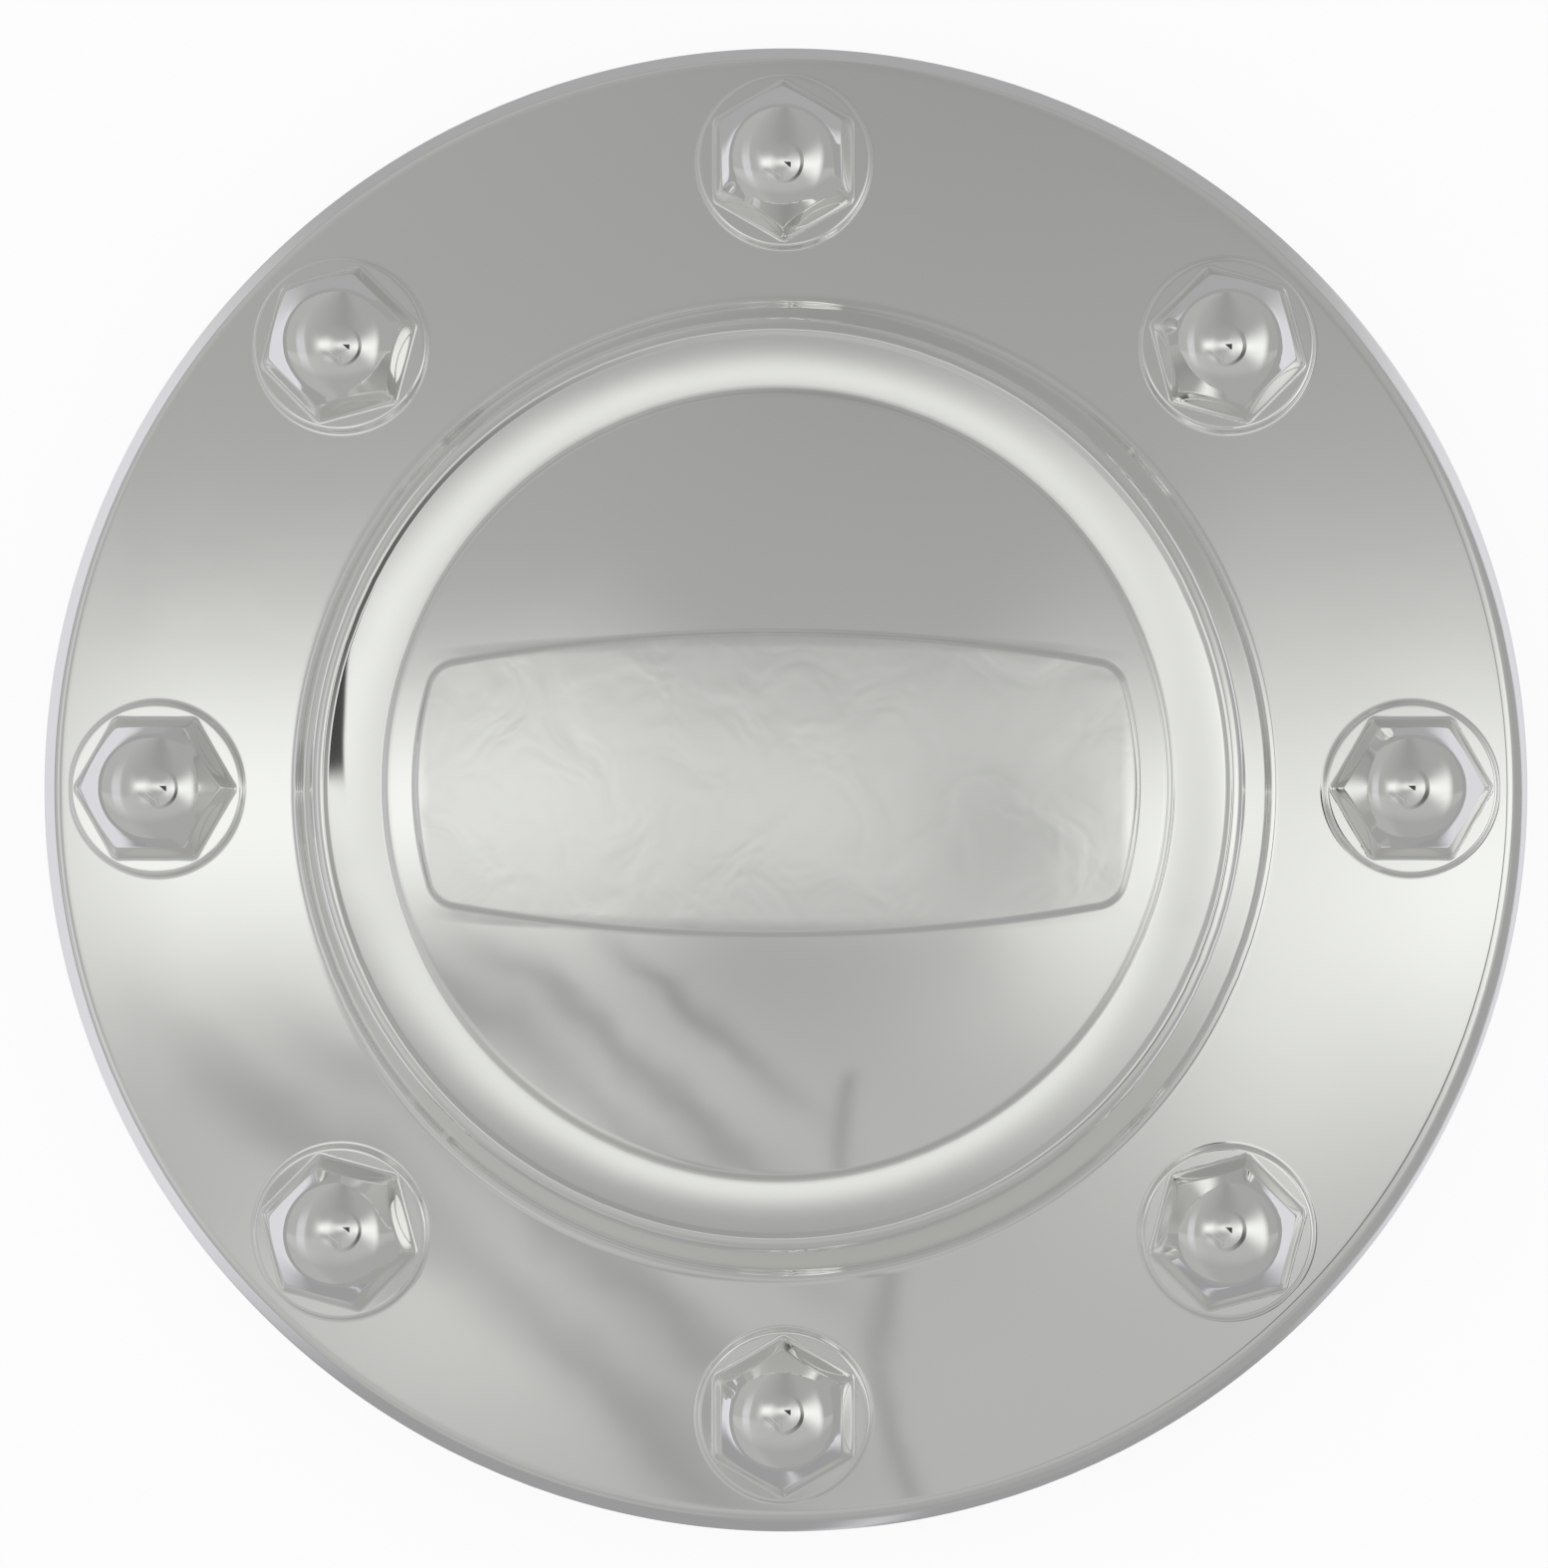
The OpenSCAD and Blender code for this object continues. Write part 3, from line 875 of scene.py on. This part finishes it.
@dataclass(frozen=True)
class LegSet:
    """Eight sprung legs with their gussets and the collar that they grow from, in millimetres."""

    section: Section = field(default_factory=Section)
    count: int = 8
    outer_r: float = 103.0
    thick: float = 2.4
    span: float = 9.0
    collar_r: float = 105.0
    collar_h: float = 4.0
    collar_edge: float = 0.35
    collar_sunk: float = 0.15
    collar_foot: float = 0.4
    barb_w: float = 1.6
    barb_z: float = 4.2
    tip_h: float = 0.8
    gusset_t: float = 1.6
    gusset_w: float = 6.0
    wire_z: float = 6.2
    lip_half: float = 1.35
    lip_w: float = 1.5
    lip_t: float = 1.0
    sunk: float = 0.4
    flare: float = 0.9
    edge: float = 0.28

    @property
    def inner_r(self) -> float:
        """Radius of the legs' inner faces."""
        return self.outer_r - self.thick

    def back_z(self, radius: float) -> float:
        """Height of the plate's back at a radius."""
        return float(self.section.plate_z(radius)) - self.section.wall_t

    def leg_outline(self) -> np.ndarray:
        """Section of a leg: barb outside, two lips that hold the wire inside, chamfered tip.

        Returns:
            Rows of radius and height, anticlockwise from the root's outer corner.
        """
        top = self.back_z(self.outer_r) + self.sunk
        low, high = self.wire_z - self.lip_half, self.wire_z + self.lip_half
        inner, lip_r, bend = self.inner_r, self.inner_r - self.lip_w, self.lip_w / 2
        return np.array([
            [self.outer_r, top], [inner, top], [inner, high + self.lip_t + bend], [lip_r, high + self.lip_t],
            [lip_r, high], [inner, high], [inner, low], [lip_r, low], [lip_r, low - self.lip_t],
            [inner, low - self.lip_t - bend], [inner, self.tip_h], [inner + self.tip_h / 2, 0.0],
            [self.outer_r - self.tip_h / 2, 0.0], [self.outer_r + self.barb_w, self.barb_z],
            [self.outer_r, self.barb_z + self.barb_w]])

    def gusset_outline(self) -> np.ndarray:
        """Section of a gusset, from the upper lip up to the plate's back.

        Returns:
            Rows of radius and height.
        """
        low = self.wire_z + self.lip_half + self.lip_t / 2
        far, middle = self.inner_r - self.gusset_w, self.inner_r + self.thick / 2
        top = self.back_z(far) + self.sunk
        return np.array([[middle, low], [middle, top], [far, top], [self.inner_r - self.lip_w / 2, low]])

    def bars(self, name: str, bar: np.ndarray, turns: np.ndarray, finish: bpy.types.Material) -> None:
        """Copies of a bar about the axis, closed at both ends, with rounded edges, as one piece.

        Args:
            name: name of the piece.
            bar: places along the bar by points of its section by 3.
            turns: azimuths of the copies, in radians.
            finish: plating of the back.
        """
        skin = Skin()
        numbers = skin.sheet(turned(bar, turns))
        for end in (numbers[:, 0], numbers[:, -1]):
            skin.cover(FACE, *end.T)
        piece = skin.build(name, finish)
        bevel = piece.modifiers.new("rounded_edges", "BEVEL")
        bevel.width = self.edge * MM
        bevel.segments = 2
        bevel.limit_method = "ANGLE"
        bevel.angle_limit = np.radians(25.0)
        bevel.harden_normals = True
        dressed(piece, Slot.CHROME)

    def collar(self, finish: bpy.types.Material) -> None:
        """Turns the collar behind the plate, with a fillet at its root on both sides.

        Args:
            finish: plating of the back.
        """
        inner, outer = self.outer_r - self.thick / 2, self.collar_r
        low, reach = self.back_z(outer) - self.collar_h, self.flare + self.collar_foot
        in_top, out_top = (self.back_z(r) + self.collar_sunk for r in (inner, outer))
        corners = [[inner - reach, in_top], [inner, in_top], [inner, low], [outer, low], [outer, out_top],
                   [outer + reach, out_top - 0.03]]
        sides = [line(a, b, n) for a, b, n in zip(corners, corners[1:], (2, 3, 2, 3, 2))]
        profile = joined(sides, (self.flare, self.collar_edge, self.collar_edge, self.flare), 4)
        roof = profile[[-1, 0]] + np.array([0.0, 0.5])
        ring = np.vstack([profile, roof, profile[:1]])
        skin = Skin()
        skin.sheet(polar(ring[:, :1], spaced(0.0, 2 * np.pi, 288), ring[:, 1:]))
        dressed(skin.build("register_collar", finish), Slot.CHROME)

    def build(self, finish: bpy.types.Material) -> None:
        """Builds the legs, a gusset at both ends of each leg, and the collar.

        Args:
            finish: plating of the back.
        """
        middles = (np.arange(self.count) + 0.5) * 2 * np.pi / self.count
        half = np.radians(self.span / 2)
        r, z = self.leg_outline().T
        self.bars("snap_legs", polar(r, np.linspace(-half, half, 9)[:, None], z), middles, finish)
        aside = half - np.arcsin(self.gusset_t / self.inner_r)
        r, z = self.gusset_outline().T
        plate = stacked(r, np.array([[-0.5], [0.5]]) * self.gusset_t, z)
        self.bars("leg_gussets", plate, np.concatenate([middles - aside, middles + aside]), finish)
        self.collar(finish)


@dataclass(frozen=True)
class SpringWire:
    """Open ring of spring wire with two inward ends, in millimetres."""

    wire_d: float = 2.5
    centre_z: float = 6.2
    ring_r: float = 99.25
    gap: float = 12.0
    bend_r: float = 4.0
    tail: float = 6.0
    chamfer: float = 0.25
    end_step: float = 0.02
    columns: int = 20

    def path(self) -> np.ndarray:
        """Centre line from one cut end to the other: straight tail, quarter bend, ring, and their mirror.

        Returns:
            Rows of two coordinates.
        """
        half = np.radians(self.gap / 2)
        hub = self.ring_r - self.bend_r
        tail = line([hub - self.tail, -self.bend_r], [hub, -self.bend_r], 6)
        first = np.vstack([tail, arc(np.array([hub, 0.0]), self.bend_r, -90.0, 0.0, 12)[1:]])
        first = first @ np.array([[np.cos(half), np.sin(half)], [-np.sin(half), np.cos(half)]])
        ring = arc(np.zeros(2), self.ring_r, self.gap / 2, 360.0 - self.gap / 2, 340)
        return np.vstack([first, ring[1:-1], first[::-1] * [1.0, -1.0]])

    def build(self, finish: bpy.types.Material) -> None:
        """Carries a circle along the centre line and lets the wire stand for its node.

        Args:
            finish: the wire's steel.
        """
        path = self.path()
        ahead = np.gradient(path, axis=0)
        ahead /= np.linalg.norm(ahead, axis=1)[:, None]
        cut = np.array([1.0, 0.55, 0.0])[:, None] * self.chamfer + self.end_step
        narrow = self.wire_d / 2 - self.chamfer * np.array([1.0, 0.35, 0.06])
        radius = np.concatenate([narrow, np.full(len(path), self.wire_d / 2), narrow[::-1]])[:, None]
        path = np.vstack([path[0] - ahead[0] * cut, path, path[-1] + ahead[-1] * cut[::-1]])
        ahead = np.vstack([np.repeat(ahead[:1], 3, 0), ahead, np.repeat(ahead[-1:], 3, 0)])
        angle = spaced(0.0, 2 * np.pi, self.columns)
        out = radius * np.cos(angle)
        x, y = path[:, :1] + out * ahead[:, 1:], path[:, 1:] - out * ahead[:, :1]
        skin = Skin()
        numbers = skin.sheet(stacked(x, y, self.centre_z + radius * np.sin(angle)))
        for ring, place in ((numbers[0], path[0]), (numbers[-1], path[-1])):
            skin.fan(ring, np.append(place, self.centre_z))
        dressed(skin.build("spring_wire", finish), Slot.SPRING, "retaining_ring")


def dressed(piece: bpy.types.Object, slot: Slot, *nodes: str) -> None:
    """Lets a piece ride on the root body, hides the nodes that it stands for, and reports it.

    Args:
        piece: the new piece.
        slot: material slot of the record. Not used.
        nodes: nodes that it replaces.
    """
    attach(piece, Rides.ROOT.value)
    if nodes:
        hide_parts(*nodes)
    LOG.info("%s: %d vertices, %d faces", piece.name, len(piece.data.vertices), len(piece.data.polygons))


def two_sided(operation: str) -> Callable[["Link", object], "Link"]:
    """An operator of Link that adds one Math node of an operation.

    Args:
        operation: name of the operation.

    Returns:
        The method.
    """
    def method(self: "Link", other: object) -> "Link":
        """Result of the operation on the two values."""
        return self.maths(operation, other)
    return method


class Link:
    """A value or socket in a node tree, with the usual operators for shader maths."""

    def __init__(self, tree: bpy.types.NodeTree, source: object) -> None:
        """Wraps a number or an output socket."""
        self.tree = tree
        self.source = source

    def maths(self, operation: str, other: object = 0.0, clamp: bool = False) -> "Link":
        """Adds one Math node.

        Args:
            operation: name of the operation.
            other: second value or link, where the operation takes one.
            clamp: whether the result stays between 0 and 1.

        Returns:
            The node's value.
        """
        node = self.tree.nodes.new("ShaderNodeMath")
        node.operation = operation
        node.use_clamp = clamp
        put(self.tree, node.inputs[0], self)
        put(self.tree, node.inputs[1], other)
        return Link(self.tree, node.outputs[0])

    def __rsub__(self, other: object) -> "Link":
        """Difference from a number on the left."""
        return Link(self.tree, other).maths("SUBTRACT", self)

    def __neg__(self) -> "Link":
        """Negative."""
        return self.maths("MULTIPLY", -1.0)

    def __abs__(self) -> "Link":
        """Distance from zero."""
        return self.maths("ABSOLUTE")

    __add__ = __radd__ = two_sided("ADD")
    __sub__ = two_sided("SUBTRACT")
    __mul__ = __rmul__ = two_sided("MULTIPLY")
    __truediv__ = two_sided("DIVIDE")
    __pow__ = two_sided("POWER")

    def clip(self) -> "Link":
        """The value held between 0 and 1."""
        return self.maths("ADD", clamp=True)

    def smooth(self, low: float, high: float) -> "Link":
        """A smooth step from 0 at low to 1 at high: three squares less two cubes of the clipped share."""
        share = ((self - low) / (high - low)).clip()
        return share * share * (3.0 - 2.0 * share)

    def window(self, rise: tuple[float, float], fall: tuple[float, float]) -> "Link":
        """One between two soft edges: a smooth step up over the first span and down over the second."""
        return self.smooth(*rise) * (1.0 - self.smooth(*fall))

    def bump(self, centre: float, width: float) -> "Link":
        """A bell curve: the exponential of minus the squared distance in widths."""
        far = (self - centre) / width
        return (-(far * far)).maths("EXPONENT")


def put(tree: bpy.types.NodeTree, socket: bpy.types.NodeSocket, value: object) -> None:
    """Sets a socket to a constant or links it.

    Args:
        tree: the node tree.
        socket: the input.
        value: a number, a tuple, a Link or an output socket.
    """
    source = value.source if isinstance(value, Link) else value
    if isinstance(source, bpy.types.NodeSocket):
        tree.links.new(source, socket)
    else:
        socket.default_value = source


@dataclass(frozen=True)
class Shader:
    """Node tree of one material or of the world, cleared and refilled."""

    tree: bpy.types.NodeTree

    def __post_init__(self) -> None:
        """Clears the tree."""
        self.tree.nodes.clear()

    def node(self, kind: str, **inputs: object) -> bpy.types.Node:
        """Adds a node and sets its sockets.

        Args:
            kind: type of the node without its prefix.
            inputs: values by socket name, with _ for a space.

        Returns:
            The node.
        """
        new = self.tree.nodes.new("ShaderNode" + kind)
        for key, value in inputs.items():
            put(self.tree, new.inputs[key.replace("_", " ")], value)
        return new

    def link(self, node: bpy.types.Node, output: str | int = 0) -> Link:
        """One output of a node as a Link."""
        return Link(self.tree, node.outputs[output])

    def place(self) -> Link:
        """Place on the object."""
        return self.link(self.node("TexCoord"), "Object")

    def xyz(self, source: Link) -> tuple[Link, Link, Link]:
        """The three parts of a vector."""
        parts = self.node("SeparateXYZ", Vector=source)
        return tuple(self.link(parts, i) for i in range(3))

    def noise(self, place: Link, scale: float, detail: float = 2.0, twist: float = 0.0) -> Link:
        """Fractal noise between 0 and 1 at a place."""
        return self.link(self.node("TexNoise", Vector=place, Scale=scale, Detail=detail, Distortion=twist))

    def blend(self, share: Link, low: object, high: object) -> Link:
        """A colour between two.

        Args:
            share: share of the second.
            low: first colour.
            high: second colour.

        Returns:
            The colour.
        """
        mix = self.node("Mix")
        mix.data_type = "RGBA"
        for index, value in ((0, share), (6, low), (7, high)):
            put(self.tree, mix.inputs[index], value)
        return self.link(mix, 2)

    def either(self, share: Link, low: bpy.types.Node, high: bpy.types.Node) -> bpy.types.Node:
        """A surface between two.

        Args:
            share: share of the second.
            low: first surface.
            high: second surface.

        Returns:
            The mixed surface.
        """
        mix = self.node("MixShader")
        for socket, value in zip(mix.inputs, (share, self.link(low), self.link(high))):
            put(self.tree, socket, value)
        return mix

    def plated(self, colour: object, rough: Link, height: Link, depth: float = 1.0) -> None:
        """Closes the tree with a metal surface whose bumps have a height times a depth in metres.

        Args:
            colour: a colour or a Link.
            rough: roughness.
            height: height of the bumps.
            depth: what one unit of height measures.
        """
        bump = self.node("Bump", Strength=1.0, Distance=depth, Height=height)
        self.close(self.node("BsdfPrincipled", Base_Color=colour, Metallic=1.0, Roughness=rough,
                             Normal=self.link(bump)))

    def close(self, surface: bpy.types.Node, kind: str = "Material") -> None:
        """Links the surface to the tree's output."""
        self.tree.links.new(surface.outputs[0], self.node("Output" + kind).inputs["Surface"])


def new_material(name: str) -> tuple[bpy.types.Material, Shader]:
    """A new material.

    Args:
        name: its name.

    Returns:
        The material and its cleared tree.
    """
    material = bpy.data.materials.new(name)
    material.use_nodes = True
    return material, Shader(material.node_tree)


@dataclass(frozen=True)
class Chrome:
    """Bright plating over moulded plastic: a mirror with faint flow waves and wipe marks, in metres."""

    name: str = "bright_chrome"
    colour: tuple[float, float, float, float] = (0.90, 0.90, 0.89, 1.0)
    roughness: float = 0.03
    wipe: float = 0.03
    wipe_scale: float = 22.0
    fine_scale: float = 900.0
    wave_scale: float = 55.0
    wave_depth: float = 0.00003
    haze: float = 0.0
    swirl_scale: float = 95.0
    swirl_depth: float = 0.00013
    panel_half: tuple[float, float] = (0.0535, 0.0195)
    panel_bow: float = 0.0026
    panel_z: tuple[float, float] = (0.030, 0.0312)

    def on_panel(self, x: Link, y: Link, z: Link) -> Link:
        """Share of the panel's top at a place: one inside its bowed outline, falling to nothing at its edge.

        Args:
            x: place along the panel.
            y: place across it.
            z: height.

        Returns:
            The share.
        """
        half_w, half_h = self.panel_half
        side = half_h + self.panel_bow * (1.0 - (x / half_w) ** 2.0)
        inside = abs(x).smooth(half_w, half_w - 0.0025) * (side - abs(y)).smooth(-0.0006, 0.0022)
        return inside * z.smooth(*self.panel_z)

    def build(self) -> bpy.types.Material:
        """Makes the material.

        Returns:
            The material.
        """
        material, shader = new_material(self.name)
        place = shader.place()
        cloud = shader.noise(place, self.wipe_scale, 3.0).smooth(0.42, 0.72)
        fine = shader.noise(place, self.fine_scale)
        rough = self.roughness + self.wipe * cloud * (0.6 + 0.8 * fine)
        waves = shader.noise(place, self.wave_scale, 1.0, 0.3) * self.wave_depth
        if self.haze > 0:
            panel = self.on_panel(*shader.xyz(place))
            swirl = shader.noise(place, self.swirl_scale, 2.5, 0.8)
            rough = rough + self.haze * panel
            waves = waves + self.swirl_depth * panel * swirl
        shader.plated(self.colour, rough, waves)
        return material


@dataclass(frozen=True)
class DrawnSteel:
    """Zinc plated spring wire: satin, with fine lines along the wire."""

    name: str = "drawn_steel"
    dark: tuple[float, float, float, float] = (0.40, 0.41, 0.42, 1.0)
    light: tuple[float, float, float, float] = (0.60, 0.61, 0.62, 1.0)
    roughness: float = 0.24
    cloud_rough: float = 0.14
    cloud_scale: float = 90.0
    line_scale: float = 5200.0
    line_depth: float = 0.00002

    def build(self) -> bpy.types.Material:
        """Makes the material.

        Returns:
            The material.
        """
        material, shader = new_material(self.name)
        place = shader.place()
        x, y, z = shader.xyz(place)
        radius = (x * x + y * y) ** 0.5
        drawn = shader.link(shader.node("CombineXYZ", X=radius, Y=z, Z=x * 0.01))
        lines = shader.noise(drawn, self.line_scale)
        cloud = shader.noise(place, self.cloud_scale, 3.0).smooth(0.35, 0.7)
        tone = shader.blend((0.5 * cloud + 0.5 * lines).clip(), self.dark, self.light)
        shader.plated(tone, self.roughness + self.cloud_rough * cloud, lines, self.line_depth)
        return material


@dataclass(frozen=True)
class Roof:
    """Light that reflections see in the tent's roof, at places in millimetres to the cap's right and top.

    The lights are shares of white. The folds take theirs from it, and the other darks are shares of all light.
    """

    x: Link
    y: Link
    cloth_light: float = 0.37
    slot_light: float = 0.52
    band_light: float = 0.07
    card_light: float = 0.2
    fold_dark: float = 0.14
    lens_dark: float = 0.93
    stem_dark: float = 0.24
    gap_dark: float = 0.8

    def cloth(self) -> Link:
        """Grey cloth, darker at the top and lighter far to the left."""
        shade = 0.06 * self.x.bump(40.0, 190.0) * self.y.smooth(60.0, 330.0)
        return self.cloth_light - shade + 0.05 * (-self.x).smooth(150.0, 700.0)

    def slot(self) -> Link:
        """Bright slot across the roof: it widens to both sides and sinks a little at the right.

        Returns:
            Light of the slot.
        """
        wide = 43.0 + 29.0 * (-self.x).smooth(40.0, 140.0) + 46.0 * self.x.smooth(40.0, 140.0)
        wide = wide + 0.5 * (abs(self.x) - 260.0).maths("MAXIMUM", 0.0)
        across = (self.y - 14.0 + 20.0 * self.x.smooth(50.0, 150.0)).bump(0.0, wide)
        right = self.x.window((80.0, 240.0), (650.0, 1100.0))
        lamps = right + 1.1 * self.x.bump(-205.0, 110.0) + 0.88 * self.x.bump(40.0, 130.0)
        return self.slot_light * across * lamps.clip()

    def card(self) -> Link:
        """Share of the roof that is the pale violet card at the left."""
        return (-self.x).window((500.0, 600.0), (820.0, 1000.0)) * self.y.bump(0.0, 300.0)

    def patches(self) -> Link:
        """Two paler patches below the slot, and a paler band across the lower roof.

        Returns:
            Their light.
        """
        low_right = 0.12 * self.x.bump(95.0, 70.0) * self.y.bump(-85.0, 50.0)
        low_left = 0.14 * self.x.bump(-150.0, 80.0) * self.y.bump(-140.0, 60.0)
        return low_right + low_left + self.band_light * (-self.y).window((60.0, 180.0), (300.0, 700.0))

    def folds(self, sway: Link) -> Link:
        """Three dark folds of the cloth, slanting at the lower left.

        Args:
            sway: how far the folds stray from straight lines.

        Returns:
            Light that the folds take away.
        """
        across = 0.66 * self.x + 0.75 * self.y + sway
        folds = across.bump(-198.0, 15.0) + 1.1 * across.bump(-168.0, 11.0) + 0.8 * across.bump(-124.0, 8.0)
        folds = folds * (1.0 - self.x.smooth(-90.0, 20.0)) * (-self.y).smooth(25.0, 85.0)
        return self.fold_dark * folds * (0.75 * self.x - 0.66 * self.y).bump(0.0, 300.0)

    def lens(self) -> Link:
        """Darkness of the lens: a shape with one slanting side, beside the slot's middle."""
        slant = (self.x + 1.2 * self.y - 42.0).smooth(-3.0, 5.0) * (1.0 - self.x.smooth(104.0, 112.0))
        return self.lens_dark * slant * self.y.window((-46.0, -38.0), (19.0, 25.0))

    def stem(self) -> Link:
        """Darkness of a thin bent line below the middle."""
        sag = self.x + 6.0 - 0.004 * (self.y + 165.0) * (self.y + 165.0)
        return self.stem_dark * sag.bump(0.0, 4.5) * (-self.y).window((118.0, 132.0), (215.0, 235.0))

    def gap(self) -> Link:
        """Darkness of an arc at the right, which the cove mirrors as its dark wedge.

        Returns:
            Share of the light that it takes away.
        """
        reach = (self.x * self.x + self.y * self.y) ** 0.5
        bearing = self.y.maths("ARCTAN2", self.x).bump(-0.34, 0.8)
        return self.gap_dark * reach.window((236.0, 246.0), (292.0, 308.0)) * bearing


@dataclass(frozen=True)
class Studio:
    """Pale floor, a light tent that only reflections see, two low lamps, and the camera, in metres."""

    eye: tuple[float, float, float] = (0.038, -0.023, 0.460)
    lens: float = 66.4
    shift: tuple[float, float] = (-0.1649, 0.099)
    tent_z: float = 0.462
    tent_half: float = 3.4
    wall_glow: float = 0.38
    even_light: float = 0.9
    floor_half: float = 3.0
    floor_gloss: float = 0.8
    floor_white: float = 0.9
    card_glow: float = 0.80
    fold_scale: float = 14.0
    fold_sway: float = 44.0
    plating_share: float = 0.88
    violet_share: float = 0.7

    def plane(self, name: str, half: float, z: float, material: bpy.types.Material) -> bpy.types.Object:
        """A square sheet of the stage, level at a height.

        Args:
            name: name of the sheet.
            half: half its side.
            z: its height.
            material: its finish.

        Returns:
            The sheet.
        """
        mesh = bpy.data.meshes.new(name)
        corners = [(-half, -half, z), (half, -half, z), (half, half, z), (-half, half, z)]
        mesh.from_pydata(corners, [], [(0, 1, 2, 3)])
        mesh.materials.append(material)
        sheet = bpy.data.objects.new(name, mesh)
        bpy.context.scene.collection.objects.link(sheet)
        return sheet

    def cards(self, x: Link, y: Link) -> tuple[Link, Link]:
        """What the floor shows in gloss by compass direction: bright cards left and right, grey between them.

        Args:
            x: place to the right.
            y: place to the top.

        Returns:
            Brightness, and the share of violet in its colour.
        """
        far = (x * x + y * y) ** 0.5 + 0.0001
        right, down = x / far, -(y / far)
        sides = abs(right).smooth(0.60, 0.88)
        grey = 0.34 - 0.08 * down.smooth(0.3, 0.8) + 0.30 * right.bump(0.06, 0.05) * down.smooth(0.2, 0.6)
        violet = 0.35 + 0.65 * sides + 0.4 * down.smooth(0.2, 0.7)
        return grey * (1.0 - sides) + self.card_glow * sides, violet.clip()

    def tint(self, shader: Shader, violet: Link) -> Link:
        """Colour of the studio's light, from warm grey to pale violet."""
        return shader.blend(violet, (0.985, 1.0, 0.970, 1.0), (0.93, 0.93, 1.0, 1.0))

    def floor_paper(self) -> bpy.types.Material:
        """White paper that clips to white for the camera, keeps a trace of shadow, and shows cards in gloss.

        Returns:
            The material.
        """
        material, shader = new_material("floor_paper")
        x, y, _ = shader.xyz(shader.place())
        glow, violet = self.cards(x, y)
        paper = shader.node("BsdfDiffuse", Color=(0.86, 0.86, 0.86, 1.0))
        cards = shader.node("Emission", Color=self.tint(shader, violet), Strength=glow)
        white = shader.node("Emission", Color=WHITE, Strength=1.0)
        rays = shader.node("LightPath")
        inner = shader.either(shader.link(rays, "Is Glossy Ray") * self.floor_gloss, paper, cards)
        shader.close(shader.either(shader.link(rays, "Is Camera Ray") * self.floor_white, inner, white))
        return material

    def tent_cloth(self) -> bpy.types.Material:
        """Glow of the tent's roof as reflections see it, over the share that the plating mirrors.

        Returns:
            The material.
        """
        material, shader = new_material("tent_cloth")
        place = shader.place()
        x, y, _ = shader.xyz(place)
        roof = Roof(x / MM, y / MM)
        card = roof.card()
        sway = self.fold_sway * (shader.noise(place, self.fold_scale) - 0.5)
        glow = roof.cloth() + roof.slot() + roof.patches() + roof.card_light * card - roof.folds(sway)
        for dark in (roof.lens(), roof.stem(), roof.gap()):
            glow = glow * (1.0 - dark)
        tint = self.tint(shader, self.violet_share * card)
        shader.close(shader.node("Emission", Color=tint, Strength=glow / self.plating_share))
        return material

    def sky(self) -> None:
        """World: white for the camera, an even light, and the tent's grey walls for reflections."""
        world = bpy.data.worlds.new("studio")
        bpy.context.scene.world = world
        world.use_nodes = True
        shader = Shader(world.node_tree)
        rays = shader.node("LightPath")
        camera, glossy = shader.link(rays, "Is Camera Ray"), shader.link(rays, "Is Glossy Ray")
        unseen = glossy * self.wall_glow + (1.0 - glossy) * self.even_light
        back = shader.node("Background", Color=WHITE, Strength=camera + (1.0 - camera) * unseen)
        shader.close(back, "World")

    def lamp(self, name: str, place: tuple[float, ...], size: tuple[float, ...], power: float) -> None:
        """A soft rectangular lamp that faces the cap.

        Args:
            name: name of the lamp.
            place: its centre.
            size: width and height.
            power: watts.
        """
        light = bpy.data.lights.new(name, "AREA")
        light.shape = "RECTANGLE"
        light.size, light.size_y = size
        light.energy = power
        lamp = bpy.data.objects.new(name, light)
        lamp.location = place
        x, y, z = np.array([0.0, 0.0, 0.02]) - np.array(place)
        lamp.rotation_euler = (np.pi / 2 - np.arctan2(-z, np.hypot(x, y)), 0.0, np.arctan2(y, x) - np.pi / 2)
        lamp.visible_glossy = False
        bpy.context.scene.collection.objects.link(lamp)

    def camera(self) -> None:
        """Camera above the cap, looking straight down, with the lens shifted to the photograph's framing."""
        data = bpy.data.cameras.new("camera")
        data.lens = self.lens
        data.sensor_width = 36.0
        data.shift_x, data.shift_y = self.shift
        data.clip_start = 0.01
        camera = bpy.data.objects.new("camera", data)
        camera.location = self.eye
        bpy.context.scene.collection.objects.link(camera)
        bpy.context.scene.camera = camera

    def build(self) -> None:
        """Sets the stage."""
        self.plane("floor", self.floor_half, 0.0, self.floor_paper())
        tent = self.plane("tent_roof", self.tent_half, self.tent_z, self.tent_cloth())
        tent.visible_camera = False
        tent.visible_diffuse = False
        tent.visible_shadow = False
        self.sky()
        self.lamp("lamp_left", (-0.85, -0.10, 0.24), (0.5, 0.34), 0.9)
        self.lamp("lamp_right", (0.95, 0.15, 0.22), (0.5, 0.26), 0.6)
        self.camera()
        bpy.context.scene.view_settings.view_transform = "Standard"


def main() -> None:
    """Builds the stage and the pieces in order."""
    logging.basicConfig(level=logging.INFO, format="%(name)s: %(message)s")
    Studio().build()
    face = Chrome(haze=0.21).build()
    back = Chrome(name="back_chrome", roughness=0.16, wipe=0.08, wave_scale=120.0, wave_depth=0.00005).build()
    Moulding().build(face, back)
    LegSet().build(back)
    SpringWire().build(DrawnSteel().build())


if __name__ == "__main__":
    main()
